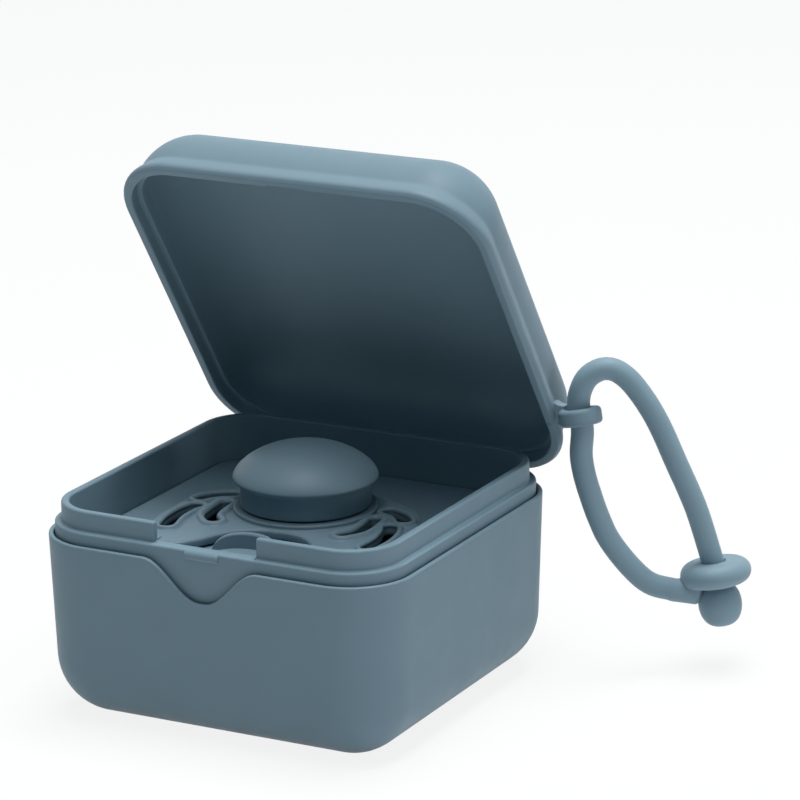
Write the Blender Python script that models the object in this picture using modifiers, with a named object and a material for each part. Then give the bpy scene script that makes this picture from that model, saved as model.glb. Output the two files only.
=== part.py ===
"""Pacifier box: a square case with a leaning lid, a liner, a tray, a pacifier and a strap.

Metres, +Z up. The origin is the middle of the underside. +X runs to the right along
the front, the front faces -Y, and the lid's hinge runs along X behind the back wall.
The lid stands open at its rest angle, leaning over the base.
"""

import math

import bmesh
import bpy
from mathutils import Matrix, Vector

MM = 0.001

# Clearances
SEAT_GAP = 0.30 * MM
WALL_GAP = 0.25 * MM
OVERRUN = 2.0 * MM
MERGE = 0.001 * MM

# Casing
BOX_WIDTH = 70.0 * MM
BOX_DEPTH = 70.0 * MM
CORNER_RADIUS = 11.6 * MM
LEAST_CORNER = 0.8 * MM
SHELL_HEIGHT = 33.0 * MM
SHELL_WALL = 0.9 * MM
SHELL_FLOOR = 1.6 * MM
SHELL_FOOT_ROUND = 10.6 * MM
SHELL_DRAFT = 1.2 * MM
SCOOP_WIDTH = 22.4 * MM
SCOOP_DEPTH = 6.9 * MM
SCOOP_FLAT = 1.0 * MM

# Liner
LINER_RISE = 2.15 * MM
LEDGE_WIDTH = 1.2 * MM
LIP_RISE = 3.55 * MM
LIP_WALL = 1.45 * MM
LINER_FLOOR = 1.6 * MM
LINER_WALL = 1.6 * MM
SHOULDER_DROP = 9.5 * MM
SHOULDER_WIDTH = 2.2 * MM
TRAY_LEDGE_DROP = 4.4 * MM
TRAY_LEDGE_WIDTH = 1.2 * MM
NOTCH_WIDTH = 20.0 * MM
NUB_WIDTH = 6.8 * MM
NUB_HEIGHT = 1.7 * MM
NUB_PROUD = 0.45 * MM

# Tray
TRAY_THICKNESS = 1.5 * MM
TRAY_SEAT_WIDTH = 2.4 * MM
TAB_WIDTH = 12.4 * MM
TAB_HEIGHT = 2.8 * MM
TAB_WALL = 1.2 * MM
TAB_SAG = 4.2 * MM
TAB_BACK = 15.6 * MM

# Hinge
HINGE_SETBACK = 1.35 * MM
HINGE_DROP = 0.9 * MM
KNUCKLE_RADIUS = 1.9 * MM
PIN_RADIUS = 0.8 * MM
LID_KNUCKLE_WIDTH = 16.0 * MM
SHELL_KNUCKLE_WIDTH = 6.0 * MM

# Lid
LID_OPEN_DEG = 56.0
LID_HEIGHT = 16.2 * MM
LID_TOP_ROUND = 11.4 * MM
LID_TOP_WALL = 1.6 * MM
LID_UPPER_WALL = 1.8 * MM
LID_RIM_WALL = 0.8 * MM
BEAD_PROUD = 1.1 * MM
BEAD_HEIGHT = 3.8 * MM
LATCH_RECESS = 0.45 * MM

# Eyelet on the lid's right side
EYELET_OUT = 5.3 * MM
EYELET_FORWARD = 15.5 * MM
EYELET_ABOVE_RIM = 2.25 * MM
EYELET_WALL = 1.5 * MM
EYELET_LENGTH = 3.4 * MM
EYELET_TOE_DEG = 12.9
EYELET_LIFT_DEG = 41.2
EYELET_ARM_WIDTH = 2.6 * MM
EYELET_ARM_HEIGHT = 3.6 * MM

# Pacifier
PACIFIER_BACK = 2.65 * MM
PACIFIER_TURN_DEG = 6.0
SHIELD_THICKNESS = 1.7 * MM
SHIELD_HALF_WIDTH = 23.3 * MM
SHIELD_FRONT = 26.0 * MM
SHIELD_BACK = 13.5 * MM
SHIELD_BORE = 7.0 * MM
SLOT_RIM_RISE = 0.55 * MM
COLLAR_RADIUS = 12.9 * MM
COLLAR_WIDTH = 2.9 * MM
COLLAR_RISE = 0.85 * MM
KNOB_RADIUS = 12.9 * MM
KNOB_DOME = 5.95 * MM
KNOB_DOME_POWER = 1.3
KNOB_BAND_RADIUS = 11.6 * MM
KNOB_BAND_HEIGHT = 4.1 * MM
KNOB_UNDERCUT = 0.95 * MM
PLUG_RADIUS = 4.2 * MM
PLUG_LENGTH = 5.6 * MM
NIPPLE_FLANGE_RADIUS = 9.4 * MM
NIPPLE_WALL = 1.3 * MM
NIPPLE_BULB_RADIUS = 8.2 * MM
NIPPLE_CLEARANCE = 2.6 * MM

# Strap
CORD_DIAMETER = 4.1 * MM
STRAP_COLLAR_RADIUS = 6.4 * MM
STRAP_COLLAR_HEIGHT = 4.2 * MM
STRAP_BOSS_DROP = 4.3 * MM
STRAP_BOSS_REACH = 7.6 * MM
BALL_RADIUS = 3.9 * MM
BALL_LENGTH = 7.6 * MM
CORD_STEPS = 46

# Facets
CORNER_STEPS = 6
ROUND_STEPS = 5
TURN_STEPS = 32
SMALL_TURN_STEPS = 20

# Outlines as shares of the sizes that carry them
SHIELD_OUTLINE_SHARES = (
    (0.000, -0.523), (0.155, -0.538), (0.283, -0.604), (0.386, -0.719), (0.481, -0.862),
    (0.601, -0.973), (0.747, -1.000), (0.884, -0.900), (0.970, -0.715), (1.000, -0.500),
    (0.987, -0.269), (0.957, -0.077), (0.897, 0.163), (0.798, 0.415), (0.661, 0.600),
    (0.506, 0.741), (0.343, 0.874), (0.172, 0.970), (0.000, 1.000),
)
WING_SLOT_SHARES = ((0.811, -0.677), (0.841, -0.508), (0.828, -0.338), (0.794, -0.238))
INNER_SLOT_SHARES = ((0.524, -0.485), (0.601, -0.385), (0.618, -0.250), (0.614, -0.108))
BACK_SLOT_SHARES = ((0.644, 0.141), (0.730, 0.067), (0.798, -0.023), (0.833, -0.077))
WING_SLOT_WIDTH = 2.5 * MM
INNER_SLOT_WIDTH = 2.2 * MM
BACK_SLOT_WIDTH = 2.6 * MM
WING_RIM_WIDTH = 0.95 * MM
INNER_RIM_WIDTH = 1.3 * MM
BACK_RIM_WIDTH = 1.0 * MM

# The strap's route, chosen point by point from the lower strand's end to the ball
STRAP_ROUTE = [
    (0.0514, 0.0361, 0.0157), (0.0482, 0.0344, 0.0190), (0.0450, 0.0327, 0.0239),
    (0.0433, 0.0318, 0.0281), (0.0420, 0.0311, 0.0324), (0.0410, 0.0306, 0.0364),
    (0.0405, 0.0304, 0.0401),
    (0.0404, 0.0306, 0.0520), (0.0416, 0.0311, 0.0543), (0.0436, 0.0321, 0.0556),
    (0.0456, 0.0331, 0.0555), (0.0475, 0.0341, 0.0541), (0.0492, 0.0350, 0.0519),
    (0.0513, 0.0360, 0.0484), (0.0531, 0.0371, 0.0443), (0.0554, 0.0382, 0.0383),
    (0.0576, 0.0394, 0.0325), (0.0592, 0.0403, 0.0275),
]
COLLAR_CENTRE = Vector((0.0617, 0.0417, 0.0176))
COLLAR_AXIS = Vector((0.16, -0.01, -0.987)).normalized()
BOSS_AXIS_SHARES = Vector((-0.87, -0.464, 0.14))

# Values that follow from the sizes above
LINER_GAP_INSET = SHELL_WALL + WALL_GAP
LIP_INSET = LINER_GAP_INSET + LEDGE_WIDTH
LINER_RIM_Z = SHELL_HEIGHT + LINER_RISE
LIP_TOP_Z = LINER_RIM_Z + LIP_RISE
LIP_INNER_INSET = LIP_INSET + LIP_WALL
SHOULDER_Z = SHELL_HEIGHT - SHOULDER_DROP
LINER_LOW_INSET = LINER_GAP_INSET + SHOULDER_WIDTH
LINER_BASE_Z = SHELL_FLOOR + SEAT_GAP
LINER_FLOOR_Z = LINER_BASE_Z + LINER_FLOOR
TRAY_LEDGE_Z = SHELL_HEIGHT - TRAY_LEDGE_DROP
LINER_INNER_INSET = LIP_INNER_INSET + TRAY_LEDGE_WIDTH
TRAY_BASE_Z = TRAY_LEDGE_Z + SEAT_GAP
TRAY_TOP_Z = TRAY_BASE_Z + TRAY_THICKNESS
HINGE_Y = BOX_DEPTH / 2 + HINGE_SETBACK
HINGE_Z = SHELL_HEIGHT - HINGE_DROP
LID_RIM_Z = SHELL_HEIGHT + SEAT_GAP
LID_TOP_Z = SHELL_HEIGHT + LID_HEIGHT
LID_LEDGE_Z = LINER_RIM_Z + SEAT_GAP
HINGE_POINT = Vector((0, HINGE_Y, HINGE_Z))
LID_TURN = Matrix.Rotation(-math.radians(LID_OPEN_DEG), 4, "X")
SHIELD_BASE_Z = TRAY_TOP_Z + SEAT_GAP
SHIELD_TOP_Z = SHIELD_BASE_Z + SHIELD_THICKNESS
NIPPLE_LENGTH = SHIELD_BASE_Z - LINER_FLOOR_Z - NIPPLE_CLEARANCE
FLANGE_BASE_Z = SHIELD_TOP_Z + SEAT_GAP
COLLAR_TOP_Z = SHIELD_TOP_Z + COLLAR_RISE
KNOB_BASE_Z = COLLAR_TOP_Z + SEAT_GAP
KNOB_EQUATOR_Z = KNOB_BASE_Z + KNOB_BAND_HEIGHT + KNOB_UNDERCUT
BORE_RADIUS = CORD_DIAMETER / 2 + SEAT_GAP
PACIFIER_PLACE = Matrix.Translation((0, PACIFIER_BACK, 0)) @ Matrix.Rotation(
    math.radians(PACIFIER_TURN_DEG), 4, "Z"
)
EYELET_SPOT = Vector(
    (BOX_WIDTH / 2 + EYELET_OUT, HINGE_Y - EYELET_FORWARD, LID_RIM_Z + EYELET_ABOVE_RIM)
)

BLUE = (0.163, 0.235, 0.293, 1.0)
STEEL = (0.55, 0.56, 0.57, 1.0)


def remove_all():
    """Clears the scene that the file was opened with."""
    for item in list(bpy.data.objects):
        bpy.data.objects.remove(item, do_unlink=True)


def collection(name):
    """A collection of the scene, made if it isn't there."""
    group = bpy.data.collections.new(name)
    bpy.context.scene.collection.children.link(group)
    return group


remove_all()
PARTS = collection("pacifier_box")
CUTTERS = collection("cutters")
CUTTERS.hide_render = True


def material(name, colour, roughness, metallic=0.0):
    """A Principled BSDF material."""
    made = bpy.data.materials.new(name)
    made.use_nodes = True
    made.diffuse_color = colour
    shader = made.node_tree.nodes["Principled BSDF"]
    shader.inputs["Base Color"].default_value = colour
    shader.inputs["Roughness"].default_value = roughness
    shader.inputs["Metallic"].default_value = metallic
    return made


def add_object(name, data, group, look=None):
    """Puts a mesh or a curve in the scene, as a part or as a cutter."""
    made = bpy.data.objects.new(name, data)
    group.objects.link(made)
    if look is not None:
        data.materials.append(look)
    if group is CUTTERS:
        made.hide_render = True
        made.display_type = "WIRE"
    return made


def smooth(item, angle_deg=35.0):
    """Shades an object smooth, with sharp edges where faces meet steeply."""
    item.data.shade_smooth()
    item.data.set_sharp_from_angle(angle=math.radians(angle_deg))


def mesh_object(name, bm, group, look=None):
    """Turns a bmesh into an object with its faces pointing out."""
    bmesh.ops.recalc_face_normals(bm, faces=bm.faces)
    data = bpy.data.meshes.new(name)
    bm.to_mesh(data)
    bm.free()
    made = add_object(name, data, group, look)
    smooth(made)
    return made


def rounded_ring(inset, height):
    """The casing's rounded outline, drawn in by inset, at one height."""
    half_x = BOX_WIDTH / 2 - inset
    half_y = BOX_DEPTH / 2 - inset
    radius = max(CORNER_RADIUS - inset, LEAST_CORNER)
    ring = []
    for quarter, (sx, sy) in enumerate(((1, -1), (1, 1), (-1, 1), (-1, -1))):
        for step in range(CORNER_STEPS + 1):
            turn = math.radians(90 * (quarter - 1 + step / CORNER_STEPS))
            ring.append(
                (
                    sx * (half_x - radius) + radius * math.cos(turn),
                    sy * (half_y - radius) + radius * math.sin(turn),
                    height,
                )
            )
    return ring


def loft(name, sections, group, look=None, shift=Vector()):
    """A closed solid through the casing's outline at each (inset, height)."""
    bm = bmesh.new()
    loops = []
    for inset, height in sections:
        ring = rounded_ring(inset, height)
        loops.append([bm.verts.new(Vector(point) - shift) for point in ring])
    for low, high in zip(loops, loops[1:]):
        for i, vert in enumerate(low):
            j = (i + 1) % len(low)
            bm.faces.new((vert, low[j], high[j], high[i]))
    bm.faces.new(reversed(loops[0]))
    bm.faces.new(loops[-1])
    return mesh_object(name, bm, group, look)


def side_inset(height):
    """How far the casing's drafted side stands in from its rim at one height."""
    return SHELL_DRAFT * (1 - height / SHELL_HEIGHT)


def foot_round(radius, base_z, extra):
    """Sections of the rounded foot, from the flat underside up to the side."""
    sections = []
    for step in range(ROUND_STEPS + 1):
        turn = math.radians(90 * step / ROUND_STEPS)
        height = base_z + radius * (1 - math.cos(turn))
        inset = side_inset(height) + extra + radius * (1 - math.sin(turn))
        sections.append((inset, height))
    return sections


def curve_prism(name, outline, thickness, group, look=None, place=Matrix(), holes=()):
    """A flat outline in XY given a thickness about Z = 0, as a closed mesh."""
    data = bpy.data.curves.new(name, "CURVE")
    data.dimensions = "2D"
    data.fill_mode = "BOTH"
    data.extrude = thickness / 2
    for points in (outline, *holes):
        spline = data.splines.new("POLY")
        spline.points.add(len(points) - 1)
        for spot, (x, y) in zip(spline.points, points):
            spot.co = (x, y, 0, 1)
        spline.use_cyclic_u = True
    guide = bpy.data.objects.new(name, data)
    CUTTERS.objects.link(guide)
    bpy.context.view_layer.update()
    shape = guide.evaluated_get(bpy.context.evaluated_depsgraph_get())
    mesh = bpy.data.meshes.new_from_object(shape)
    bpy.data.objects.remove(guide, do_unlink=True)
    bpy.data.curves.remove(data)
    bm = bmesh.new()
    bm.from_mesh(mesh)
    bpy.data.meshes.remove(mesh)
    bmesh.ops.remove_doubles(bm, verts=bm.verts, dist=MERGE)
    bmesh.ops.transform(bm, matrix=place, verts=bm.verts)
    return mesh_object(name, bm, group, look)


def turned(name, profile, steps, group, look=None, place=Matrix()):
    """A closed profile of (radius, height) points turned about Z, top to bottom outside."""
    data = bpy.data.meshes.new(name)
    points = [(radius, 0, height) for radius, height in profile]
    edges = [(i, i + 1) for i in range(len(points) - 1)]
    if profile[0][0] > 0 or profile[-1][0] > 0:
        edges.append((len(points) - 1, 0))
    data.from_pydata(points, edges, [])
    made = add_object(name, data, group, look)
    made.matrix_world = place
    screw = made.modifiers.new("turn", "SCREW")
    screw.axis = "Z"
    screw.steps = steps
    screw.render_steps = steps
    screw.use_merge_vertices = True
    screw.merge_threshold = MERGE
    screw.use_smooth_shade = True
    return made


def block(name, low, high, group, look=None, shift=Vector()):
    """A box between two corners."""
    low = Vector(low) - shift
    high = Vector(high) - shift
    bm = bmesh.new()
    bmesh.ops.create_cube(bm, size=1)
    size = Matrix.Diagonal((*(high - low), 1))
    bmesh.ops.transform(bm, matrix=Matrix.Translation((low + high) / 2) @ size, verts=bm.verts)
    return mesh_object(name, bm, group, look)


def rod(name, radius, length, centre, axis, group, look=None, steps=SMALL_TURN_STEPS):
    """A cylinder of one length about a centre, along an axis."""
    bm = bmesh.new()
    turn = Vector((0, 0, 1)).rotation_difference(Vector(axis)).to_matrix().to_4x4()
    bmesh.ops.create_cone(
        bm,
        cap_ends=True,
        segments=steps,
        radius1=radius,
        radius2=radius,
        depth=length,
        matrix=Matrix.Translation(centre) @ turn,
    )
    return mesh_object(name, bm, group, look)


def boolean(target, tool, operation):
    """Cuts a tool from a solid or joins it on."""
    step = target.modifiers.new(tool.name, "BOOLEAN")
    step.operation = operation
    step.object = tool
    step.solver = "EXACT"


def cut(target, *tools):
    for tool in tools:
        boolean(target, tool, "DIFFERENCE")


def join(target, *tools):
    for tool in tools:
        boolean(target, tool, "UNION")


def smooth_path(points, count, closed=False):
    """Points read evenly in parameter from a Catmull-Rom curve through the given points."""
    points = [Vector(point) for point in points]
    if closed:
        line = [points[-1], *points, points[0], points[1]]
    else:
        line = [points[0] * 2 - points[1], *points, points[-1] * 2 - points[-2]]
    spans = len(line) - 3
    result = []
    for index in range(count if closed else count + 1):
        along = index * spans / count
        span = min(int(along), spans - 1)
        t = along - span
        a, b, c, d = line[span : span + 4]
        result.append(
            (2 * b + (c - a) * t + (2 * a - 5 * b + 4 * c - d) * t**2 + (3 * b - a - 3 * c + d) * t**3) / 2
        )
    return result


def capsule_outline(path, width, steps=5):
    """The outline of a slot of one width along an open path, with round ends."""
    count = len(path)
    left = []
    right = []
    for i, point in enumerate(path):
        ahead = path[min(i + 1, count - 1)] - path[max(i - 1, 0)]
        side = Vector((-ahead.y, ahead.x)).normalized() * (width / 2)
        left.append(point.xy + side)
        right.append(point.xy - side)
    outline = []
    outline += right
    outline += round_end(right[-1], left[-1], steps)
    outline += reversed(left)
    outline += round_end(left[0], right[0], steps)
    return [(p.x, p.y) for p in outline]


def round_end(start, end, steps):
    """The points of the half circle that closes a slot's end, without its two ends."""
    centre = (start + end) / 2
    arm = start - centre
    points = []
    for step in range(1, steps):
        turn = math.pi * step / steps
        points.append(centre + Matrix.Rotation(turn, 2) @ arm)
    return points


def shield_point(share_x, share_y):
    """A point of the shield from its shares of the width and of the front or back reach."""
    reach = SHIELD_FRONT if share_y < 0 else SHIELD_BACK
    return Vector((share_x * SHIELD_HALF_WIDTH, share_y * reach, 0))


# The shield's outline, which the tray's opening follows
right_half = [shield_point(*pair) for pair in SHIELD_OUTLINE_SHARES]
left_half = [Vector((-point.x, point.y, 0)) for point in reversed(right_half[1:-1])]
shield_outline = smooth_path([*right_half, *left_half], 84, closed=True)


def drawn_in(outline, inset):
    """A closed outline, drawn counter-clockwise, again with every point moved inwards."""
    result = []
    for i, point in enumerate(outline):
        ahead = outline[(i + 1) % len(outline)] - outline[i - 1]
        result.append(point + Vector((-ahead.y, ahead.x, 0)).normalized() * inset)
    return result


# Looks
shell_look = material("casing_plastic", BLUE, 0.55)
soft_look = material("strap_rubber", BLUE, 0.62)
pin_look = material("pin_steel", STEEL, 0.35, 1.0)

# Outer casing
casing_sections = foot_round(SHELL_FOOT_ROUND, 0, 0)
casing_sections += [(side_inset(SHELL_HEIGHT), SHELL_HEIGHT)]
casing_sections += [(SHELL_WALL, SHELL_HEIGHT)]
inner_round = SHELL_FOOT_ROUND - SHELL_FLOOR
casing_sections += reversed(foot_round(inner_round, SHELL_FLOOR, SHELL_WALL))
outer_shell = loft("outer_shell", casing_sections, PARTS, shell_look)

front_y = -BOX_DEPTH / 2
scoop_points = []
scoop_runs = 10
for step in range(scoop_runs + 1):
    share = step / scoop_runs
    x = -SCOOP_WIDTH / 2 + share * (SCOOP_WIDTH - SCOOP_FLAT) / 2
    scoop_points.append((x, SHELL_HEIGHT - SCOOP_DEPTH * (1 - math.cos(math.pi * share)) / 2))
scoop_outline = scoop_points + [(-x, z) for x, z in reversed(scoop_points)]
scoop_outline += [
    (SCOOP_WIDTH / 2, SHELL_HEIGHT + OVERRUN),
    (-SCOOP_WIDTH / 2, SHELL_HEIGHT + OVERRUN),
]
upright = Matrix.Translation((0, front_y, 0)) @ Matrix.Rotation(math.radians(90), 4, "X")
scoop_cut = curve_prism("scoop_cut", scoop_outline, OVERRUN * 4, CUTTERS, place=upright)
cut(outer_shell, scoop_cut)

knuckle_gap_x = LID_KNUCKLE_WIDTH / 2 + SEAT_GAP
back_y = BOX_DEPTH / 2
hinge_slot = block(
    "hinge_slot",
    (-knuckle_gap_x, back_y - LINER_GAP_INSET, HINGE_Z - KNUCKLE_RADIUS - SEAT_GAP),
    (knuckle_gap_x, back_y + OVERRUN, SHELL_HEIGHT + OVERRUN),
    CUTTERS,
)
shell_knuckle_x = knuckle_gap_x + SHELL_KNUCKLE_WIDTH / 2
shell_knuckles = [
    rod(
        f"shell_knuckle_{side}",
        KNUCKLE_RADIUS,
        SHELL_KNUCKLE_WIDTH,
        (sign * shell_knuckle_x, HINGE_Y, HINGE_Z),
        (1, 0, 0),
        CUTTERS,
    )
    for side, sign in (("left", -1), ("right", 1))
]
pin_bore = rod(
    "pin_bore", PIN_RADIUS + SEAT_GAP, LID_KNUCKLE_WIDTH + SHELL_KNUCKLE_WIDTH * 4,
    HINGE_POINT, (1, 0, 0), CUTTERS,
)
cut(outer_shell, hinge_slot)
join(outer_shell, *shell_knuckles)
cut(outer_shell, pin_bore)

# Liner
liner_round = SHELL_FOOT_ROUND - SHELL_FLOOR - SHOULDER_WIDTH / 2
liner_sections = foot_round(liner_round, LINER_BASE_Z, LINER_LOW_INSET)
liner_sections += [
    (LINER_LOW_INSET + side_inset(SHOULDER_Z), SHOULDER_Z - SHOULDER_WIDTH),
    (LINER_GAP_INSET + side_inset(SHOULDER_Z), SHOULDER_Z),
    (LINER_GAP_INSET, SHELL_HEIGHT),
    (LINER_GAP_INSET, LINER_RIM_Z),
    (LIP_INSET, LINER_RIM_Z),
    (LIP_INSET, LIP_TOP_Z),
    (LIP_INNER_INSET, LIP_TOP_Z),
    (LIP_INNER_INSET, TRAY_LEDGE_Z),
    (LINER_INNER_INSET, TRAY_LEDGE_Z),
]
room_round = liner_round - LINER_WALL
liner_sections += reversed(
    foot_round(room_round, LINER_FLOOR_Z, LINER_LOW_INSET + LINER_WALL)
)
liner = loft("liner", liner_sections, PARTS, shell_look)
lip_notch = block(
    "lip_notch",
    (-NOTCH_WIDTH / 2, front_y, LINER_RIM_Z),
    (NOTCH_WIDTH / 2, front_y + LIP_INNER_INSET + OVERRUN, LIP_TOP_Z + OVERRUN),
    CUTTERS,
)
cut(liner, lip_notch)
nub = rod(
    "nub", NUB_HEIGHT / 2, NUB_WIDTH,
    (0, front_y + LINER_GAP_INSET + NUB_HEIGHT / 2 - NUB_PROUD, LINER_RIM_Z - NUB_HEIGHT / 2 - MERGE),
    (1, 0, 0), CUTTERS, steps=12,
)
join(liner, nub)

# Tray
tray_inset = LIP_INNER_INSET + SEAT_GAP
tray = loft("tray", [(tray_inset, TRAY_BASE_Z), (tray_inset, TRAY_TOP_Z)], PARTS, shell_look)
tray_hole = curve_prism(
    "tray_hole", [(p.x, p.y) for p in drawn_in(shield_outline, TRAY_SEAT_WIDTH)],
    TRAY_THICKNESS + OVERRUN * 2, CUTTERS,
    place=PACIFIER_PLACE @ Matrix.Translation((0, 0, TRAY_BASE_Z + TRAY_THICKNESS / 2)),
)
cut(tray, tray_hole)
tab_radius = TAB_WIDTH**2 / 8 / TAB_SAG + TAB_SAG / 2
tab_swing = math.asin(TAB_WIDTH / 2 / tab_radius)
tab_path = []
tab_runs = 8
for step in range(tab_runs + 1):
    turn = tab_swing * (2 * step / tab_runs - 1)
    tab_path.append(
        Vector((tab_radius * math.sin(turn), tab_radius * (math.cos(turn) - 1) - TAB_BACK, 0))
    )
tab_base_z = TRAY_TOP_Z - TRAY_THICKNESS / 2
tab_height = TAB_HEIGHT + TRAY_THICKNESS / 2
tab = curve_prism(
    "finger_tab", capsule_outline(tab_path, TAB_WALL, 4), tab_height, CUTTERS,
    place=Matrix.Translation((0, 0, tab_base_z + tab_height / 2)),
)
join(tray, tab)

# Lid, modelled shut and turned about the hinge
bead_shares = ((-0.62, 0.0), (-1.0, 0.17), (-0.97, 0.38), (-0.45, 0.72), (0.0, 1.0))
lid_outside = [(BEAD_PROUD * out, LID_RIM_Z + BEAD_HEIGHT * up) for out, up in bead_shares]
for step in range(ROUND_STEPS + 1):
    turn = math.radians(90 * step / ROUND_STEPS)
    lid_outside.append(
        (
            LID_TOP_ROUND * (1 - math.cos(turn)),
            LID_TOP_Z - LID_TOP_ROUND * (1 - math.sin(turn)),
        )
    )
room_top_z = LID_TOP_Z - LID_TOP_WALL
room_top_round = LID_TOP_ROUND - LID_TOP_WALL
lid_inside = [(LID_RIM_WALL, LID_RIM_Z), (LID_RIM_WALL, LID_LEDGE_Z), (LID_UPPER_WALL, LID_LEDGE_Z)]
for step in range(ROUND_STEPS + 1):
    turn = math.radians(90 * step / ROUND_STEPS)
    lid_inside.append(
        (
            LID_UPPER_WALL + room_top_round * (1 - math.cos(turn)),
            room_top_z - room_top_round * (1 - math.sin(turn)),
        )
    )
lid = loft(
    "lid", [*reversed(lid_outside), *lid_inside], PARTS, shell_look, shift=HINGE_POINT
)
lid.matrix_world = Matrix.Translation(HINGE_POINT) @ LID_TURN


def on_lid(tool):
    """Turns a tool that was placed for the shut lid along with the lid."""
    tool.matrix_world = Matrix.Translation(HINGE_POINT) @ LID_TURN @ Matrix.Translation(-HINGE_POINT)
    return tool


shell_knuckle_rooms = [
    on_lid(
        rod(
            f"knuckle_room_{side}",
            KNUCKLE_RADIUS + SEAT_GAP,
            SHELL_KNUCKLE_WIDTH + SEAT_GAP * 2,
            (sign * shell_knuckle_x, HINGE_Y, HINGE_Z),
            (1, 0, 0),
            CUTTERS,
        )
    )
    for side, sign in (("left", -1), ("right", 1))
]
latch_room = on_lid(
    block(
        "latch_room",
        (-NUB_WIDTH / 2 - SEAT_GAP, front_y + LID_RIM_WALL - LATCH_RECESS, LID_RIM_Z - OVERRUN),
        (NUB_WIDTH / 2 + SEAT_GAP, front_y + LID_RIM_WALL + SEAT_GAP, LID_LEDGE_Z),
        CUTTERS,
    )
)
lid_knuckle = on_lid(
    rod("lid_knuckle", KNUCKLE_RADIUS, LID_KNUCKLE_WIDTH, HINGE_POINT, (1, 0, 0), CUTTERS)
)
eyelet_toe = math.radians(EYELET_TOE_DEG)
eyelet_lift = math.radians(EYELET_LIFT_DEG)
eyelet_axis = Vector(
    (
        -math.sin(eyelet_toe),
        -math.cos(eyelet_toe) * math.cos(eyelet_lift),
        math.cos(eyelet_toe) * math.sin(eyelet_lift),
    )
)
eyelet_turn = Vector((0, 0, 1)).rotation_difference(eyelet_axis).to_matrix().to_4x4()
eyelet_place = (
    Matrix.Translation(HINGE_POINT) @ LID_TURN @ Matrix.Translation(EYELET_SPOT - HINGE_POINT)
) @ eyelet_turn
ring_out = BORE_RADIUS + EYELET_WALL
ring_half = EYELET_LENGTH / 2
ring_round = EYELET_WALL / 3
eyelet_ring = turned(
    "eyelet_ring",
    [
        (BORE_RADIUS, ring_half - ring_round),
        (BORE_RADIUS + ring_round, ring_half),
        (ring_out - ring_round, ring_half),
        (ring_out, ring_half - ring_round),
        (ring_out, -ring_half + ring_round),
        (ring_out - ring_round, -ring_half),
        (BORE_RADIUS + ring_round, -ring_half),
        (BORE_RADIUS, -ring_half + ring_round),
    ],
    SMALL_TURN_STEPS, CUTTERS, place=eyelet_place,
)
arm_end_x = EYELET_SPOT.x - BORE_RADIUS - EYELET_WALL / 3
arm_root = Vector((0, EYELET_SPOT.y, EYELET_SPOT.z))
eyelet_arm = block(
    "eyelet_arm",
    (BOX_WIDTH / 2 - LID_RIM_WALL / 2, -EYELET_ARM_HEIGHT / 2, -EYELET_ARM_WIDTH / 2),
    (arm_end_x, EYELET_ARM_HEIGHT / 2, EYELET_ARM_WIDTH / 2),
    CUTTERS,
)
eyelet_arm.matrix_world = (
    Matrix.Translation(HINGE_POINT)
    @ LID_TURN
    @ Matrix.Translation(arm_root - HINGE_POINT)
    @ Matrix.Rotation(-eyelet_lift, 4, "X")
)
cut(lid, *shell_knuckle_rooms, latch_room)
join(lid, lid_knuckle, eyelet_arm, eyelet_ring)
cut(lid, pin_bore)

pin_length = LID_KNUCKLE_WIDTH + SEAT_GAP * 2 + SHELL_KNUCKLE_WIDTH * 2
hinge_pin = rod("hinge_pin", PIN_RADIUS, pin_length, HINGE_POINT, (1, 0, 0), PARTS, pin_look, 16)


# Pacifier
shield_middle = PACIFIER_PLACE @ Matrix.Translation((0, 0, SHIELD_BASE_Z + SHIELD_THICKNESS / 2))
pacifier_shield = curve_prism(
    "pacifier_shield", [(p.x, p.y) for p in shield_outline], SHIELD_THICKNESS,
    PARTS, shell_look, place=shield_middle,
)
slot_rims = []
slot_cuts = []
for label, shares, width, rim_width, rise_share in (
    ("wing", WING_SLOT_SHARES, WING_SLOT_WIDTH, WING_RIM_WIDTH, 1.0),
    ("inner", INNER_SLOT_SHARES, INNER_SLOT_WIDTH, INNER_RIM_WIDTH, 1.15),
    ("back", BACK_SLOT_SHARES, BACK_SLOT_WIDTH, BACK_RIM_WIDTH, 0.85),
):
    rim_rise = SLOT_RIM_RISE * rise_share
    for side, sign in (("left", -1), ("right", 1)):
        path = smooth_path(
            [Vector((sign * p.x, p.y, 0)) for p in (shield_point(*pair) for pair in shares)], 8
        )
        rim_height = rim_rise + SHIELD_THICKNESS / 2
        rim_z = SHIELD_TOP_Z + rim_rise - rim_height / 2
        slot_rims.append(
            curve_prism(
                f"{label}_rim_{side}",
                capsule_outline(path, width + rim_width * 2),
                rim_height,
                CUTTERS,
                place=PACIFIER_PLACE @ Matrix.Translation((0, 0, rim_z)),
            )
        )
        slot_cuts.append(
            curve_prism(
                f"{label}_slot_{side}",
                capsule_outline(path, width),
                SHIELD_THICKNESS + OVERRUN * 2,
                CUTTERS,
                place=shield_middle,
            )
        )
collar_low_z = SHIELD_BASE_Z + SHIELD_THICKNESS / 2
collar_inner = COLLAR_RADIUS - COLLAR_WIDTH
shield_collar = turned(
    "shield_collar",
    [
        (collar_inner, COLLAR_TOP_Z),
        (KNOB_BAND_RADIUS, COLLAR_TOP_Z),
        (COLLAR_RADIUS - COLLAR_RISE / 3, COLLAR_TOP_Z - COLLAR_RISE / 3),
        (COLLAR_RADIUS, COLLAR_TOP_Z - COLLAR_RISE * 0.8),
        (COLLAR_RADIUS, collar_low_z),
        (collar_inner, collar_low_z),
    ],
    TURN_STEPS, CUTTERS, place=PACIFIER_PLACE,
)
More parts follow.
